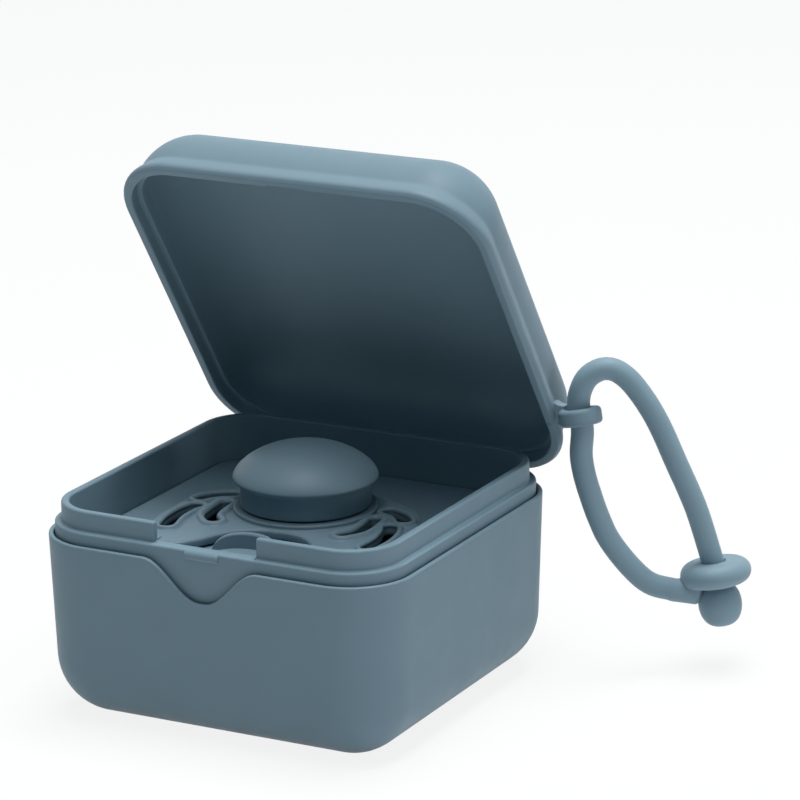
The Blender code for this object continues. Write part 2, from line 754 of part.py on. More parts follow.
shield_bore = rod(
    "shield_bore", SHIELD_BORE, SHIELD_THICKNESS + OVERRUN * 2,
    shield_middle.translation, (0, 0, 1), CUTTERS, steps=TURN_STEPS,
)
join(pacifier_shield, *slot_rims)
join(pacifier_shield, shield_collar)
cut(pacifier_shield, *slot_cuts)
cut(pacifier_shield, shield_bore)

dome = []
for step in range(9):
    turn = math.radians(90 * step / 8)
    rise = KNOB_DOME * abs(math.cos(turn)) ** KNOB_DOME_POWER
    dome.append((KNOB_RADIUS * math.sin(turn), KNOB_EQUATOR_Z + rise))
knob_profile = dome + [
    (KNOB_RADIUS - KNOB_UNDERCUT / 4, KNOB_EQUATOR_Z - KNOB_UNDERCUT / 2),
    (KNOB_BAND_RADIUS, KNOB_EQUATOR_Z - KNOB_UNDERCUT),
    (KNOB_BAND_RADIUS, KNOB_BASE_Z),
    (PLUG_RADIUS, KNOB_BASE_Z),
    (PLUG_RADIUS, KNOB_BASE_Z - PLUG_LENGTH),
    (0, KNOB_BASE_Z - PLUG_LENGTH),
]
pacifier_knob = turned(
    "pacifier_knob", knob_profile, TURN_STEPS, PARTS, shell_look, place=PACIFIER_PLACE
)

neck_out = SHIELD_BORE - SEAT_GAP
neck_in = PLUG_RADIUS + SEAT_GAP
tip_z = SHIELD_BASE_Z - NIPPLE_LENGTH
nipple_out_shares = ((0.80, 0.90), (0.78, 0.76), (0.86, 0.62), (1.0, 0.42), (0.97, 0.22), (0.74, 0.07), (0.40, 0.012))
nipple_outside = [(NIPPLE_BULB_RADIUS * r, tip_z + NIPPLE_LENGTH * up) for r, up in nipple_out_shares]
nipple_inside = [
    (max(radius - NIPPLE_WALL, 0), height + (NIPPLE_WALL if up < 0.1 else 0))
    for (radius, height), (_, up) in zip(nipple_outside, nipple_out_shares)
]
nipple_profile = [
    (neck_in, COLLAR_TOP_Z),
    (NIPPLE_FLANGE_RADIUS, COLLAR_TOP_Z),
    (NIPPLE_FLANGE_RADIUS, FLANGE_BASE_Z),
    (neck_out, FLANGE_BASE_Z),
    *nipple_outside,
    (0, tip_z),
    (0, tip_z + NIPPLE_WALL),
    *reversed(nipple_inside),
]
pacifier_nipple = turned(
    "pacifier_nipple", nipple_profile, TURN_STEPS, PARTS, soft_look, place=PACIFIER_PLACE
)

# Strap
boss_axis = BOSS_AXIS_SHARES.normalized()
boss_root = COLLAR_CENTRE + COLLAR_AXIS * STRAP_BOSS_DROP
collar_turn = Vector((0, 0, 1)).rotation_difference(-COLLAR_AXIS).to_matrix().to_4x4()
collar_place = Matrix.Translation(COLLAR_CENTRE) @ collar_turn
collar_half = STRAP_COLLAR_HEIGHT / 2
collar_profile = [(BORE_RADIUS, collar_half)]
for step in range(7):
    turn = math.radians(180 * step / 6)
    collar_profile.append(
        (
            STRAP_COLLAR_RADIUS - collar_half + collar_half * math.sin(turn),
            collar_half * math.cos(turn),
        )
    )
collar_profile.append((BORE_RADIUS, -collar_half))
strap_collar = turned(
    "strap_collar", collar_profile, SMALL_TURN_STEPS, PARTS, soft_look, place=collar_place
)
boss_near = BALL_RADIUS + SEAT_GAP
boss = rod(
    "strap_boss", CORD_DIAMETER / 2, STRAP_BOSS_REACH - boss_near,
    boss_root + boss_axis * (STRAP_BOSS_REACH + boss_near) / 2, boss_axis, CUTTERS, steps=12,
)
join(strap_collar, boss)
strap_bore = rod(
    "strap_bore", BORE_RADIUS, STRAP_COLLAR_HEIGHT * 3, COLLAR_CENTRE, COLLAR_AXIS, CUTTERS
)
cut(strap_collar, strap_bore)

ball_top = COLLAR_CENTRE + COLLAR_AXIS * (collar_half + SEAT_GAP)
ball_place = Matrix.Translation(ball_top) @ collar_turn
ball_shares = ((0.60, 0.0), (0.86, 0.13), (0.99, 0.34), (0.98, 0.58), (0.82, 0.80), (0.52, 0.94), (0.0, 1.0))
ball_profile = [(0, 0)] + [(BALL_RADIUS * r, -BALL_LENGTH * down) for r, down in ball_shares]
strap_ball = turned("strap_ball", ball_profile, SMALL_TURN_STEPS, PARTS, soft_look, place=ball_place)

eyelet_centre = (LID_TURN @ (EYELET_SPOT - HINGE_POINT)) + HINGE_POINT
eyelet_line = (LID_TURN.to_3x3() @ eyelet_axis).normalized()
strand_start = boss_root + boss_axis * (STRAP_BOSS_REACH + SEAT_GAP)
cord_ahead = CORD_DIAMETER * 0.55
route = [strand_start]
route += [Vector(point) for point in STRAP_ROUTE[:7]]
route += [eyelet_centre - eyelet_line * cord_ahead, eyelet_centre + eyelet_line * cord_ahead]
route += [Vector(point) for point in STRAP_ROUTE[7:]]
route += [COLLAR_CENTRE, ball_top - COLLAR_AXIS * SEAT_GAP]


def evenly(points, count):
    """The same line again with evenly spaced points."""
    fine = smooth_path(points, len(points) * 24)
    lengths = [0.0]
    for a, b in zip(fine, fine[1:]):
        lengths.append(lengths[-1] + (b - a).length)
    result = []
    spot = 0
    for index in range(count + 1):
        goal = lengths[-1] * index / count
        while spot < len(fine) - 2 and lengths[spot + 1] < goal:
            spot += 1
        run = lengths[spot + 1] - lengths[spot]
        share = (goal - lengths[spot]) / run if run > 0 else 0
        result.append(fine[spot].lerp(fine[spot + 1], min(max(share, 0), 1)))
    return result


cord_points = evenly(route, CORD_STEPS)
cord_data = bpy.data.curves.new("strap_cord", "CURVE")
cord_data.dimensions = "3D"
cord_data.bevel_depth = CORD_DIAMETER / 2
cord_data.bevel_resolution = 3
cord_data.use_fill_caps = True
cord_spline = cord_data.splines.new("POLY")
cord_spline.points.add(len(cord_points) - 1)
for spot, point in zip(cord_spline.points, cord_points):
    spot.co = (*point, 1)
strap_cord = add_object("strap_cord", cord_data, PARTS, soft_look)
length = sum((b - a).length for a, b in zip(cord_points, cord_points[1:]))
print("strap length mm", round(length / MM, 1), "eyelet", eyelet_centre, eyelet_line)
print("lowest strap point mm", round(min(p.z for p in cord_points) / MM, 2))
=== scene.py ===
"""Looks of the pacifier box: its dressed pieces, finishes, studio and camera.

Metres, +Z up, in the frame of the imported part. The origin is the middle of the underside,
the front faces -Y and the lid stands open, leaning over the base.
"""

import logging
import math
from collections.abc import Callable, Sequence
from dataclasses import dataclass, field
from enum import Enum

import bmesh
import bpy
from mathutils import Matrix, Vector

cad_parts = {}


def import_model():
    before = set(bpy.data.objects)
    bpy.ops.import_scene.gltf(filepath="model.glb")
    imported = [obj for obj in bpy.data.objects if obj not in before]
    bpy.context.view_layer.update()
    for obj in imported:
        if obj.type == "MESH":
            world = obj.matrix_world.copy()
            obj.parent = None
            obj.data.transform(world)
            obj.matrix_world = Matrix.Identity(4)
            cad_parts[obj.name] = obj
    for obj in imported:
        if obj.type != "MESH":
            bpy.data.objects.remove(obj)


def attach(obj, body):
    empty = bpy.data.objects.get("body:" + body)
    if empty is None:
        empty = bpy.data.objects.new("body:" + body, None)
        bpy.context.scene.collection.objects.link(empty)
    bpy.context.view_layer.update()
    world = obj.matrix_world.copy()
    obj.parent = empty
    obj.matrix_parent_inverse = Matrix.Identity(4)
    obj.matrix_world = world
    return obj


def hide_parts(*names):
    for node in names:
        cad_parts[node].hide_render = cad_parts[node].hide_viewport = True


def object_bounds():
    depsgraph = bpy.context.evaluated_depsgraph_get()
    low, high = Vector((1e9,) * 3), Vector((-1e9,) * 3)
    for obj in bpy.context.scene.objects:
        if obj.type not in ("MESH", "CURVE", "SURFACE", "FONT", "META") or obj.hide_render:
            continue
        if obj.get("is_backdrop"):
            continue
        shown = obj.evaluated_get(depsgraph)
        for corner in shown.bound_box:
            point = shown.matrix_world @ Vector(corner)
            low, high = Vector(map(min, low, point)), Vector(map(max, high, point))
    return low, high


log = logging.getLogger("pacifier_box")

MM = 0.001
Pair = tuple[float, float]
Triple = tuple[float, float, float]


class Element(Enum):
    """The kind of mesh element that is picked."""

    POINT = "verts"
    EDGE = "edges"
    FACE = "faces"


class Side(Enum):
    """The side of the box that a paired piece sits on, as the sign of its X."""

    LEFT = -1
    RIGHT = 1


class Carve(Enum):
    """What a solid does with a tool."""

    TAKE = "DIFFERENCE"
    ADD = "UNION"


# ---------------------------------------------------------------- the workbench


def rest_hands() -> None:
    """Goes back to object mode and lets go of everything that is selected."""
    if bpy.context.object is not None and bpy.context.object.mode != "OBJECT":
        bpy.ops.object.mode_set(mode="OBJECT")
    bpy.ops.object.select_all(action="DESELECT")


def rounded_corners(points: Sequence[Triple], steps: int = 4) -> list[Pair]:
    """Rounds the corners of a profile.

    Args:
        points: (across, up, radius) of each corner; a radius of 0 leaves it sharp.
        steps: the number of chords in each rounded corner.

    Returns:
        The (across, up) points of the rounded profile.
    """
    result: list[Pair] = []
    last = len(points) - 1
    for index, (across, up, radius) in enumerate(points):
        here = Vector((across, up))
        if radius <= 0 or index in (0, last):
            result.append((across, up))
            continue
        back = Vector(points[index - 1][:2]) - here
        ahead = Vector(points[index + 1][:2]) - here
        half = back.angle(ahead) / 2
        reach = min(radius / math.tan(half), back.length * 0.49, ahead.length * 0.49)
        true_radius = reach * math.tan(half)
        start, end = here + back.normalized() * reach, here + ahead.normalized() * reach
        middle = here + (back.normalized() + ahead.normalized()).normalized() * (
            true_radius / math.sin(half)
        )
        first, final = start - middle, end - middle
        swing = first.angle_signed(final)
        for step in range(steps + 1):
            turn = -swing * step / steps
            spoke = Matrix.Rotation(turn, 2) @ first
            result.append(tuple(middle + spoke))
    return result


def smooth_line(points: Sequence[Sequence[float]], runs: int, closed: bool = False) -> list[Vector]:
    """A smooth curve through points.

    Args:
        points: the points that the curve passes through.
        runs: the number of chords along the curve.
        closed: whether the curve comes back to its first point.

    Returns:
        The points of the curve, one more than its chords when it is open.
    """
    stops = [Vector(point) for point in points]
    if closed:
        line = [stops[-1], *stops, stops[0], stops[1]]
    else:
        line = [stops[0] * 2 - stops[1], *stops, stops[-1] * 2 - stops[-2]]
    spans = len(line) - 3
    result = []
    for index in range(runs if closed else runs + 1):
        along = index * spans / runs
        span = min(int(along), spans - 1)
        t = along - span
        a, b, c, d = line[span : span + 4]
        result.append(
            (2 * b + (c - a) * t + (2 * a - 5 * b + 4 * c - d) * t**2 + (3 * b - a - 3 * c + d) * t**3) / 2
        )
    return result


def evenly(points: Sequence[Vector], runs: int) -> list[Vector]:
    """The same line again with chords of one length.

    Args:
        points: the points of the line.
        runs: the number of chords wanted.

    Returns:
        The evenly spaced points, one more than the chords.
    """
    lengths = [0.0]
    for a, b in zip(points, points[1:]):
        lengths.append(lengths[-1] + (b - a).length)
    result = []
    spot = 0
    for index in range(runs + 1):
        goal = lengths[-1] * index / runs
        while spot < len(points) - 2 and lengths[spot + 1] < goal:
            spot += 1
        run = lengths[spot + 1] - lengths[spot]
        share = (goal - lengths[spot]) / run if run > 0 else 0
        result.append(points[spot].lerp(points[spot + 1], min(max(share, 0), 1)))
    return result


def slot_outline(path: Sequence[Vector], width: float, steps: int = 8) -> list[Vector]:
    """The outline of a slot of one width with round ends.

    Args:
        path: the middle line of the slot, flat in XY.
        width: the slot's width.
        steps: the number of chords in each round end.

    Returns:
        The points of the closed outline.
    """
    left, right = [], []
    for i, point in enumerate(path):
        ahead = path[min(i + 1, len(path) - 1)] - path[max(i - 1, 0)]
        side = Vector((-ahead.y, ahead.x)).normalized() * (width / 2)
        left.append(point.xy + side)
        right.append(point.xy - side)

    def cap(start: Vector, end: Vector) -> list[Vector]:
        """The half circle between two points, without its two ends."""
        middle = (start + end) / 2
        arm = start - middle
        return [middle + Matrix.Rotation(math.pi * k / steps, 2) @ arm for k in range(1, steps)]

    return [*right, *cap(right[-1], left[-1]), *reversed(left), *cap(left[0], right[0])]


@dataclass(frozen=True)
class Outline:
    """The rounded square outline that the casing's pieces share."""

    width: float = 70.0 * MM
    depth: float = 70.0 * MM
    corner: float = 11.6 * MM
    least_corner: float = 0.8 * MM
    corner_chords: int = 16

    def radius(self, inset: float) -> float:
        """The corner radius of the outline drawn in by an inset."""
        return max(self.corner - inset, self.least_corner)

    def middle(self, inset: float) -> Vector:
        """The centre of the right back corner's arc, drawn in by an inset."""
        radius = self.radius(inset)
        return Vector((self.width / 2 - inset - radius, self.depth / 2 - inset - radius))


class Workpiece:
    """A mesh that is shaped with Blender's edit tools, as by hand."""

    def __init__(self, name: str) -> None:
        """Takes the object that is active, and names it."""
        self.item = bpy.context.active_object
        self.item.name = name
        self.item.data.name = name

    @property
    def mesh(self) -> bpy.types.Mesh:
        """The piece's mesh."""
        return self.item.data

    @classmethod
    def plate(cls, name: str, width: float, depth: float, height: float) -> "Workpiece":
        """A flat plate about the Z axis, left in edit mode with everything selected."""
        rest_hands()
        bpy.ops.mesh.primitive_plane_add(size=1, enter_editmode=True)
        bpy.ops.transform.resize(value=(width, depth, 1), center_override=(0, 0, 0))
        bpy.ops.transform.translate(value=(0, 0, height))
        return cls(name)

    @classmethod
    def block(cls, name: str, low: Sequence[float], high: Sequence[float]) -> "Workpiece":
        """A block between two corners, left in edit mode with everything selected."""
        rest_hands()
        low, high = Vector(low), Vector(high)
        bpy.ops.mesh.primitive_cube_add(size=1, enter_editmode=True)
        bpy.ops.transform.resize(value=high - low, center_override=(0, 0, 0))
        bpy.ops.transform.translate(value=(low + high) / 2)
        return cls(name)

    @classmethod
    def lofted(cls, name: str, outline: Outline, profile: Sequence[Pair]) -> "Workpiece":
        """A solid through the casing's outline, ring after ring.

        Args:
            name: the piece's name.
            outline: the rounded square outline.
            profile: the (inset, height) of each ring.

        Returns:
            The piece, left in object mode.
        """
        inset, height = profile[0]
        piece = cls.plate(name, outline.width - 2 * inset, outline.depth - 2 * inset, height)
        bpy.ops.mesh.bevel(
            offset=outline.radius(inset), segments=outline.corner_chords,
            affect="VERTICES", profile=0.5,
        )
        bpy.ops.mesh.select_all(action="SELECT")
        for before, after in zip(profile, profile[1:]):
            piece.add_ring(outline, before, after)
        bpy.ops.mesh.select_all(action="SELECT")
        bpy.ops.mesh.normals_make_consistent(inside=False)
        bpy.ops.object.mode_set(mode="OBJECT")
        return piece

    def add_ring(self, outline: Outline, before: Pair, after: Pair) -> None:
        """Extrudes the selected end face to the next ring, and offsets its four corners.

        Args:
            outline: the rounded square outline.
            before: the (inset, height) of the ring that is selected.
            after: the (inset, height) of the ring to make.
        """
        bpy.ops.mesh.extrude_region_move(
            TRANSFORM_OT_translate={"value": (0, 0, after[1] - before[1])}
        )
        if abs(after[0] - before[0]) < 1e-9:
            return
        bpy.context.tool_settings.mesh_select_mode = (True, False, False)
        ring = [v.index for v in bmesh.from_edit_mesh(self.mesh).verts if v.select]
        scale = outline.radius(after[0]) / outline.radius(before[0])
        old, new = outline.middle(before[0]), outline.middle(after[0])
        for sign_x in (-1, 1):
            for sign_y in (-1, 1):
                self.pick_numbers(ring, lambda v: v.co.x * sign_x > 0 and v.co.y * sign_y > 0)
                if abs(scale - 1) > 1e-9:
                    bpy.ops.transform.resize(
                        value=(scale, scale, 1), center_override=(old.x * sign_x, old.y * sign_y, 0)
                    )
                step = Vector(((new.x - old.x) * sign_x, (new.y - old.y) * sign_y, 0))
                if step.length > 1e-9:
                    bpy.ops.transform.translate(value=step)
        self.pick_numbers(ring, lambda v: True)

    def pick_numbers(self, numbers: Sequence[int], test: Callable[..., bool]) -> None:
        """Selects those of some numbered points that pass a test, and nothing else."""
        shape = bmesh.from_edit_mesh(self.mesh)
        shape.verts.ensure_lookup_table()
        bpy.ops.mesh.select_all(action="DESELECT")
        for number in numbers:
            point = shape.verts[number]
            point.select = test(point)
        shape.select_flush_mode()
        bmesh.update_edit_mesh(self.mesh, loop_triangles=False, destructive=False)

    def pick(self, kind: Element, test: Callable[..., bool]) -> int:
        """Selects the elements that pass a test, and nothing else.

        Args:
            kind: the kind of element.
            test: takes a bmesh element and says whether it is picked.

        Returns:
            How many were picked.
        """
        if self.item.mode != "EDIT":
            rest_hands()
            bpy.context.view_layer.objects.active = self.item
            self.item.select_set(True)
            bpy.ops.object.mode_set(mode="EDIT")
        bpy.context.tool_settings.mesh_select_mode = tuple(kind is each for each in Element)
        shape = bmesh.from_edit_mesh(self.mesh)
        bpy.ops.mesh.select_all(action="DESELECT")
        count = 0
        for element in getattr(shape, kind.value):
            chosen = bool(test(element))
            element.select_set(chosen)
            count += chosen
        shape.select_flush_mode()
        bmesh.update_edit_mesh(self.mesh, loop_triangles=False, destructive=False)
        return count

    @classmethod
    def spun(cls, name: str, profile: Sequence[Pair], chords: int = 64) -> "Workpiece":
        """A turned solid.

        Args:
            name: the piece's name.
            profile: (radius, height) points; it closes on itself, or starts and ends on the axis.
            chords: the number of chords round it.

        Returns:
            The piece about the Z axis, left in object mode.
        """
        rest_hands()
        bpy.ops.mesh.primitive_plane_add(size=MM, enter_editmode=True)
        piece = cls(name)
        piece.pick(Element.POINT, lambda v: v.index != 0)
        bpy.ops.mesh.delete(type="VERT")
        bpy.ops.mesh.select_all(action="SELECT")
        start = piece.middle_of_selection()
        bpy.ops.transform.translate(value=Vector((profile[0][0], 0, profile[0][1])) - start)
        stops = list(profile)
        if profile[0][0] > 0 or profile[-1][0] > 0:
            stops.append(profile[0])
        for (r0, z0), (r1, z1) in zip(stops, stops[1:]):
            bpy.ops.mesh.extrude_region_move(TRANSFORM_OT_translate={"value": (r1 - r0, 0, z1 - z0)})
        bpy.ops.mesh.select_all(action="SELECT")
        bpy.ops.mesh.spin(steps=chords, angle=2 * math.pi, center=(0, 0, 0), axis=(0, 0, 1))
        bpy.ops.mesh.select_all(action="SELECT")
        bpy.ops.mesh.remove_doubles(threshold=0.002 * MM)
        bpy.ops.mesh.normals_make_consistent(inside=False)
        bpy.ops.object.mode_set(mode="OBJECT")
        return piece

    def middle_of_selection(self) -> Vector:
        """The mean place of the points that are selected in edit mode."""
        spots = [v.co.copy() for v in bmesh.from_edit_mesh(self.mesh).verts if v.select]
        return sum(spots, Vector()) / len(spots)

    def active(self) -> None:
        """Makes the piece the only one selected, in object mode."""
        rest_hands()
        bpy.context.view_layer.objects.active = self.item
        self.item.select_set(True)

    def place(self, matrix: Matrix) -> "Workpiece":
        """Moves the piece by a matrix, with its place kept in its mesh."""
        self.active()
        self.item.matrix_world = matrix @ self.item.matrix_world
        bpy.ops.object.transform_apply(location=True, rotation=True, scale=True)
        return self

    def modify(self, kind: str, **settings: object) -> "Workpiece":
        """Adds a modifier with its settings, and applies it."""
        self.active()
        step = self.item.modifiers.new(kind.lower(), kind)
        for name, value in settings.items():
            setattr(step, name, value)
        bpy.ops.object.modifier_apply(modifier=step.name)
        return self

    def carve(self, tool: "Workpiece", how: Carve = Carve.TAKE) -> "Workpiece":
        """Takes a tool from the piece or adds it on, and removes the tool."""
        tool.active()
        self.modify("BOOLEAN", operation=how.value, object=tool.item, solver="EXACT")
        bpy.data.objects.remove(tool.item, do_unlink=True)
        return self

    def round_edges(self, width: float, chords: int = 3, angle_deg: float = 40.0) -> "Workpiece":
        """Rounds the edges that are sharper than an angle."""
        return self.modify(
            "BEVEL", width=width, segments=chords, limit_method="ANGLE",
            angle_limit=math.radians(angle_deg), harden_normals=False, miter_outer="MITER_ARC",
        )

    def join(self, *others: "Workpiece") -> "Workpiece":
        """Puts other pieces into this one's mesh."""
        self.active()
        for other in others:
            other.item.select_set(True)
        bpy.ops.object.join()
        return self

    def melt(self, grain: float, passes: int) -> "Workpiece":
        """Runs a joined piece together into one skin with soft inner corners.

        Args:
            grain: the size of the cells that the new skin is made from.
            passes: how many times the new skin is smoothed.

        Returns:
            The piece.
        """
        self.modify("REMESH", mode="VOXEL", voxel_size=grain, use_smooth_shade=True)
        return self.modify("SMOOTH", factor=0.5, iterations=passes)

    def shade(self, angle_deg: float = 35.0) -> "Workpiece":
        """Shades the piece smooth, with sharp edges where faces meet steeply."""
        self.active()
        bpy.ops.object.shade_smooth_by_angle(angle=math.radians(angle_deg))
        return self

    def finish(self, body: str, slot: str, look: bpy.types.Material, *nodes: str) -> "Workpiece":
        """Gives the piece its finish, and sets it on its body in place of CAD nodes.

        Args:
            body: the body that it rides on.
            slot: not used.
            look: the material.
            nodes: the CAD nodes that it stands for.

        Returns:
            The piece.
        """
        self.mesh.materials.clear()
        self.mesh.materials.append(look)
        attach(self.item, body)
        if nodes:
            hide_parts(*nodes)
        log.info("%s: %d faces, on %s", self.item.name, len(self.mesh.polygons), body)
        return self


def from_curve(
    name: str, loops: Sequence[Sequence[Vector]], half_height: float, rounding: float, place: Matrix
) -> Workpiece:
    """A plate with rounded edges from a flat outline and its holes.

    Args:
        name: the piece's name.
        loops: the closed outline, then the holes, flat in XY.
        half_height: half the plate's thickness.
        rounding: the radius of its edges.
        place: where the plate's middle goes.

    Returns:
        The piece, left in object mode.
    """
    rest_hands()
    data = bpy.data.curves.new(name, "CURVE")
    data.dimensions = "2D"
    data.fill_mode = "BOTH"
    data.extrude = half_height - rounding
    data.bevel_depth = rounding
    data.bevel_resolution = 3
    data.offset = -rounding
    for loop in loops:
        spline = data.splines.new("POLY")
        spline.points.add(len(loop) - 1)
        for spot, point in zip(spline.points, loop):
            spot.co = (point.x, point.y, 0, 1)
        spline.use_cyclic_u = True
    item = bpy.data.objects.new(name, data)
    bpy.context.scene.collection.objects.link(item)
    bpy.context.view_layer.objects.active = item
    item.select_set(True)
    bpy.ops.object.convert(target="MESH")
    piece = Workpiece(name)
    piece.place(place)
    return piece


def tube(name: str, line: Sequence[Vector], radius: float, closed: bool, chords: int = 3) -> Workpiece:
    """A round bead along a line.

    Args:
        name: the piece's name.
        line: the bead's middle line.
        radius: the bead's radius.
        closed: whether the bead comes back to its start.
        chords: the smoothness of its section.

    Returns:
        The piece, left in object mode.
    """
    rest_hands()
    data = bpy.data.curves.new(name, "CURVE")
    data.dimensions = "3D"
    data.bevel_depth = radius
    data.bevel_resolution = chords
    data.use_fill_caps = True
    spline = data.splines.new("POLY")
    spline.points.add(len(line) - 1)
    for spot, point in zip(spline.points, line):
        spot.co = (*point, 1)
    spline.use_cyclic_u = closed
    item = bpy.data.objects.new(name, data)
    bpy.context.scene.collection.objects.link(item)
    bpy.context.view_layer.objects.active = item
    item.select_set(True)
    bpy.ops.object.convert(target="MESH")
    return Workpiece(name)


# ---------------------------------------------------------------- finishes


class Recipe:
    """A material's node tree, and the few steps that the finishes share."""

    def __init__(self, name: str) -> None:
        """Starts a material with its shader and the object's own coordinates."""
        self.material = bpy.data.materials.new(name)
        self.material.use_nodes = True
        self.tree = self.material.node_tree
        self.shader = self.tree.nodes["Principled BSDF"]
        self.place = self.tree.nodes.new("ShaderNodeTexCoord").outputs["Object"]

    def add(self, kind: str, **settings: object) -> bpy.types.Node:
        """Adds a node, with its settings by name."""
        node = self.tree.nodes.new(kind)
        for name, value in settings.items():
            setattr(node, name, value)
        return node

    def link(self, source: bpy.types.NodeSocket, target: bpy.types.NodeSocket) -> None:
        """Links one socket to another."""
        self.tree.links.new(source, target)

    def clouds(self, size: float, detail: float = 2.0, rough: float = 0.5) -> bpy.types.NodeSocket:
        """A soft noise pattern.

        Args:
            size: the size of its patches, in metres.
            detail: how many finer layers it has.
            rough: how strong the finer layers are.

        Returns:
            The socket with its value, about 0.5 on average.
        """
        node = self.add("ShaderNodeTexNoise")
        node.inputs["Scale"].default_value = 1 / size
        node.inputs["Detail"].default_value = detail
        node.inputs["Roughness"].default_value = rough
        self.link(self.place, node.inputs["Vector"])
        return node.outputs["Fac"]

    def spread(
        self, source: bpy.types.NodeSocket, low: float, high: float, start: float = 0.3, end: float = 0.7
    ) -> bpy.types.NodeSocket:
        """Spreads a value's middle range over another range."""
        node = self.add("ShaderNodeMapRange")
        node.inputs["From Min"].default_value = start
        node.inputs["From Max"].default_value = end
        node.inputs["To Min"].default_value = low
        node.inputs["To Max"].default_value = high
        self.link(source, node.inputs["Value"])
        return node.outputs["Result"]

    def tint(
        self, colour: bpy.types.NodeSocket | Triple, other: Triple, share: bpy.types.NodeSocket
    ) -> bpy.types.NodeSocket:
        """Mixes a colour with another one by a pattern."""
        node = self.add("ShaderNodeMix", data_type="RGBA")
        first, second = node.inputs["A"], node.inputs["B"]
        sockets = [s for s in node.inputs if s.type == "RGBA"]
        first, second = sockets[0], sockets[1]
        if isinstance(colour, tuple):
            first.default_value = (*colour, 1)
        else:
            self.link(colour, first)
        second.default_value = (*other, 1)
        self.link(share, node.inputs["Factor"])
        return next(s for s in node.outputs if s.type == "RGBA")

    def painted_edge_highlight_mask(self, start: float, end: float) -> bpy.types.NodeSocket:
        """A value of 1 along outward edges and 0 on flats: the mask of the painted edge highlight."""
        pointed = self.add("ShaderNodeNewGeometry").outputs["Pointiness"]
        return self.spread(pointed, 0.0, 1.0, start, end)

    def bump(
        self, height: bpy.types.NodeSocket, distance: float, strength: float,
        under: bpy.types.NodeSocket | None = None,
    ) -> bpy.types.NodeSocket:
        """A bump from a height pattern, on top of another bump when one is given."""
        node = self.add("ShaderNodeBump")
        node.inputs["Distance"].default_value = distance
        node.inputs["Strength"].default_value = strength
        self.link(height, node.inputs["Height"])
        if under is not None:
            self.link(under, node.inputs["Normal"])
        return node.outputs["Normal"]


def shifted(colour: Triple, share: float) -> Triple:
    """A colour made lighter or darker by a share of itself."""
    return tuple(min(max(part * (1 + share), 0.0), 1.0) for part in colour)


@dataclass(frozen=True)
class MattPlastic:
    """Moulded plastic with a spark-eroded matt grain, and a painted highlight along its rounded edges."""

    colour: Triple
    roughness: float = 0.52
    grain: float = 0.16 * MM
    grain_depth: float = 0.3
    mottle: float = 0.018
    # how much lighter the painted highlight makes the rounded edges
    painted_edge_highlight: float = 0.12

    def material(self, name: str) -> bpy.types.Material:
        """Makes the material."""
        recipe = Recipe(name)
        base = recipe.tint(
            shifted(self.colour, -self.mottle), shifted(self.colour, self.mottle),
            recipe.spread(recipe.clouds(9 * MM, 3.0), 0.0, 1.0),
        )
        flecked = recipe.tint(
            base, shifted(self.colour, self.mottle * 1.6),
            recipe.spread(recipe.clouds(0.5 * MM, 2.0, 0.6), 0.0, 0.35, 0.5, 0.75),
        )
        # painted highlight: the base colour is lightened along rounded edges, where a rim of light would fall
        edge_highlit_colour = recipe.tint(
            flecked, shifted(self.colour, self.painted_edge_highlight), recipe.painted_edge_highlight_mask(0.53, 0.64)
        )
        recipe.link(edge_highlit_colour, recipe.shader.inputs["Base Color"])
        rough = recipe.spread(
            recipe.clouds(4 * MM, 3.0), self.roughness - 0.05, self.roughness + 0.05
        )
        recipe.link(rough, recipe.shader.inputs["Roughness"])
        waves = recipe.bump(recipe.clouds(14 * MM, 1.0), 0.06 * MM, 0.35)
        grain = recipe.bump(
            recipe.clouds(self.grain, 2.0, 0.55), 0.012 * MM, self.grain_depth, waves
        )
        recipe.link(grain, recipe.shader.inputs["Normal"])
        recipe.shader.inputs["IOR"].default_value = 1.48
        recipe.shader.inputs["Specular IOR Level"].default_value = 0.22
        return recipe.material


@dataclass(frozen=True)
class SoftSilicone:
    """Matt silicone rubber with a soft bloom at grazing angles."""

    colour: Triple
    roughness: float = 0.6
    bloom: float = 0.14
    mottle: float = 0.02

    def material(self, name: str) -> bpy.types.Material:
        """Makes the material."""
        recipe = Recipe(name)
        base = recipe.tint(
            shifted(self.colour, -self.mottle), shifted(self.colour, self.mottle),
            recipe.spread(recipe.clouds(5 * MM, 3.0), 0.0, 1.0),
        )
        dusty = recipe.tint(
            base, shifted(self.colour, 0.08),
            recipe.spread(recipe.clouds(0.35 * MM, 3.0, 0.65), 0.0, 0.4, 0.52, 0.8),
        )
        recipe.link(dusty, recipe.shader.inputs["Base Color"])
        rough = recipe.spread(
            recipe.clouds(2.5 * MM, 3.0), self.roughness - 0.06, self.roughness + 0.05
        )
        recipe.link(rough, recipe.shader.inputs["Roughness"])
        waves = recipe.bump(recipe.clouds(6 * MM, 1.0), 0.05 * MM, 0.3)
        skin = recipe.bump(recipe.clouds(0.2 * MM, 2.0), 0.01 * MM, 0.3, waves)
        recipe.link(skin, recipe.shader.inputs["Normal"])
        recipe.shader.inputs["IOR"].default_value = 1.41
        recipe.shader.inputs["Sheen Weight"].default_value = self.bloom
        recipe.shader.inputs["Sheen Roughness"].default_value = 0.45
        return recipe.material


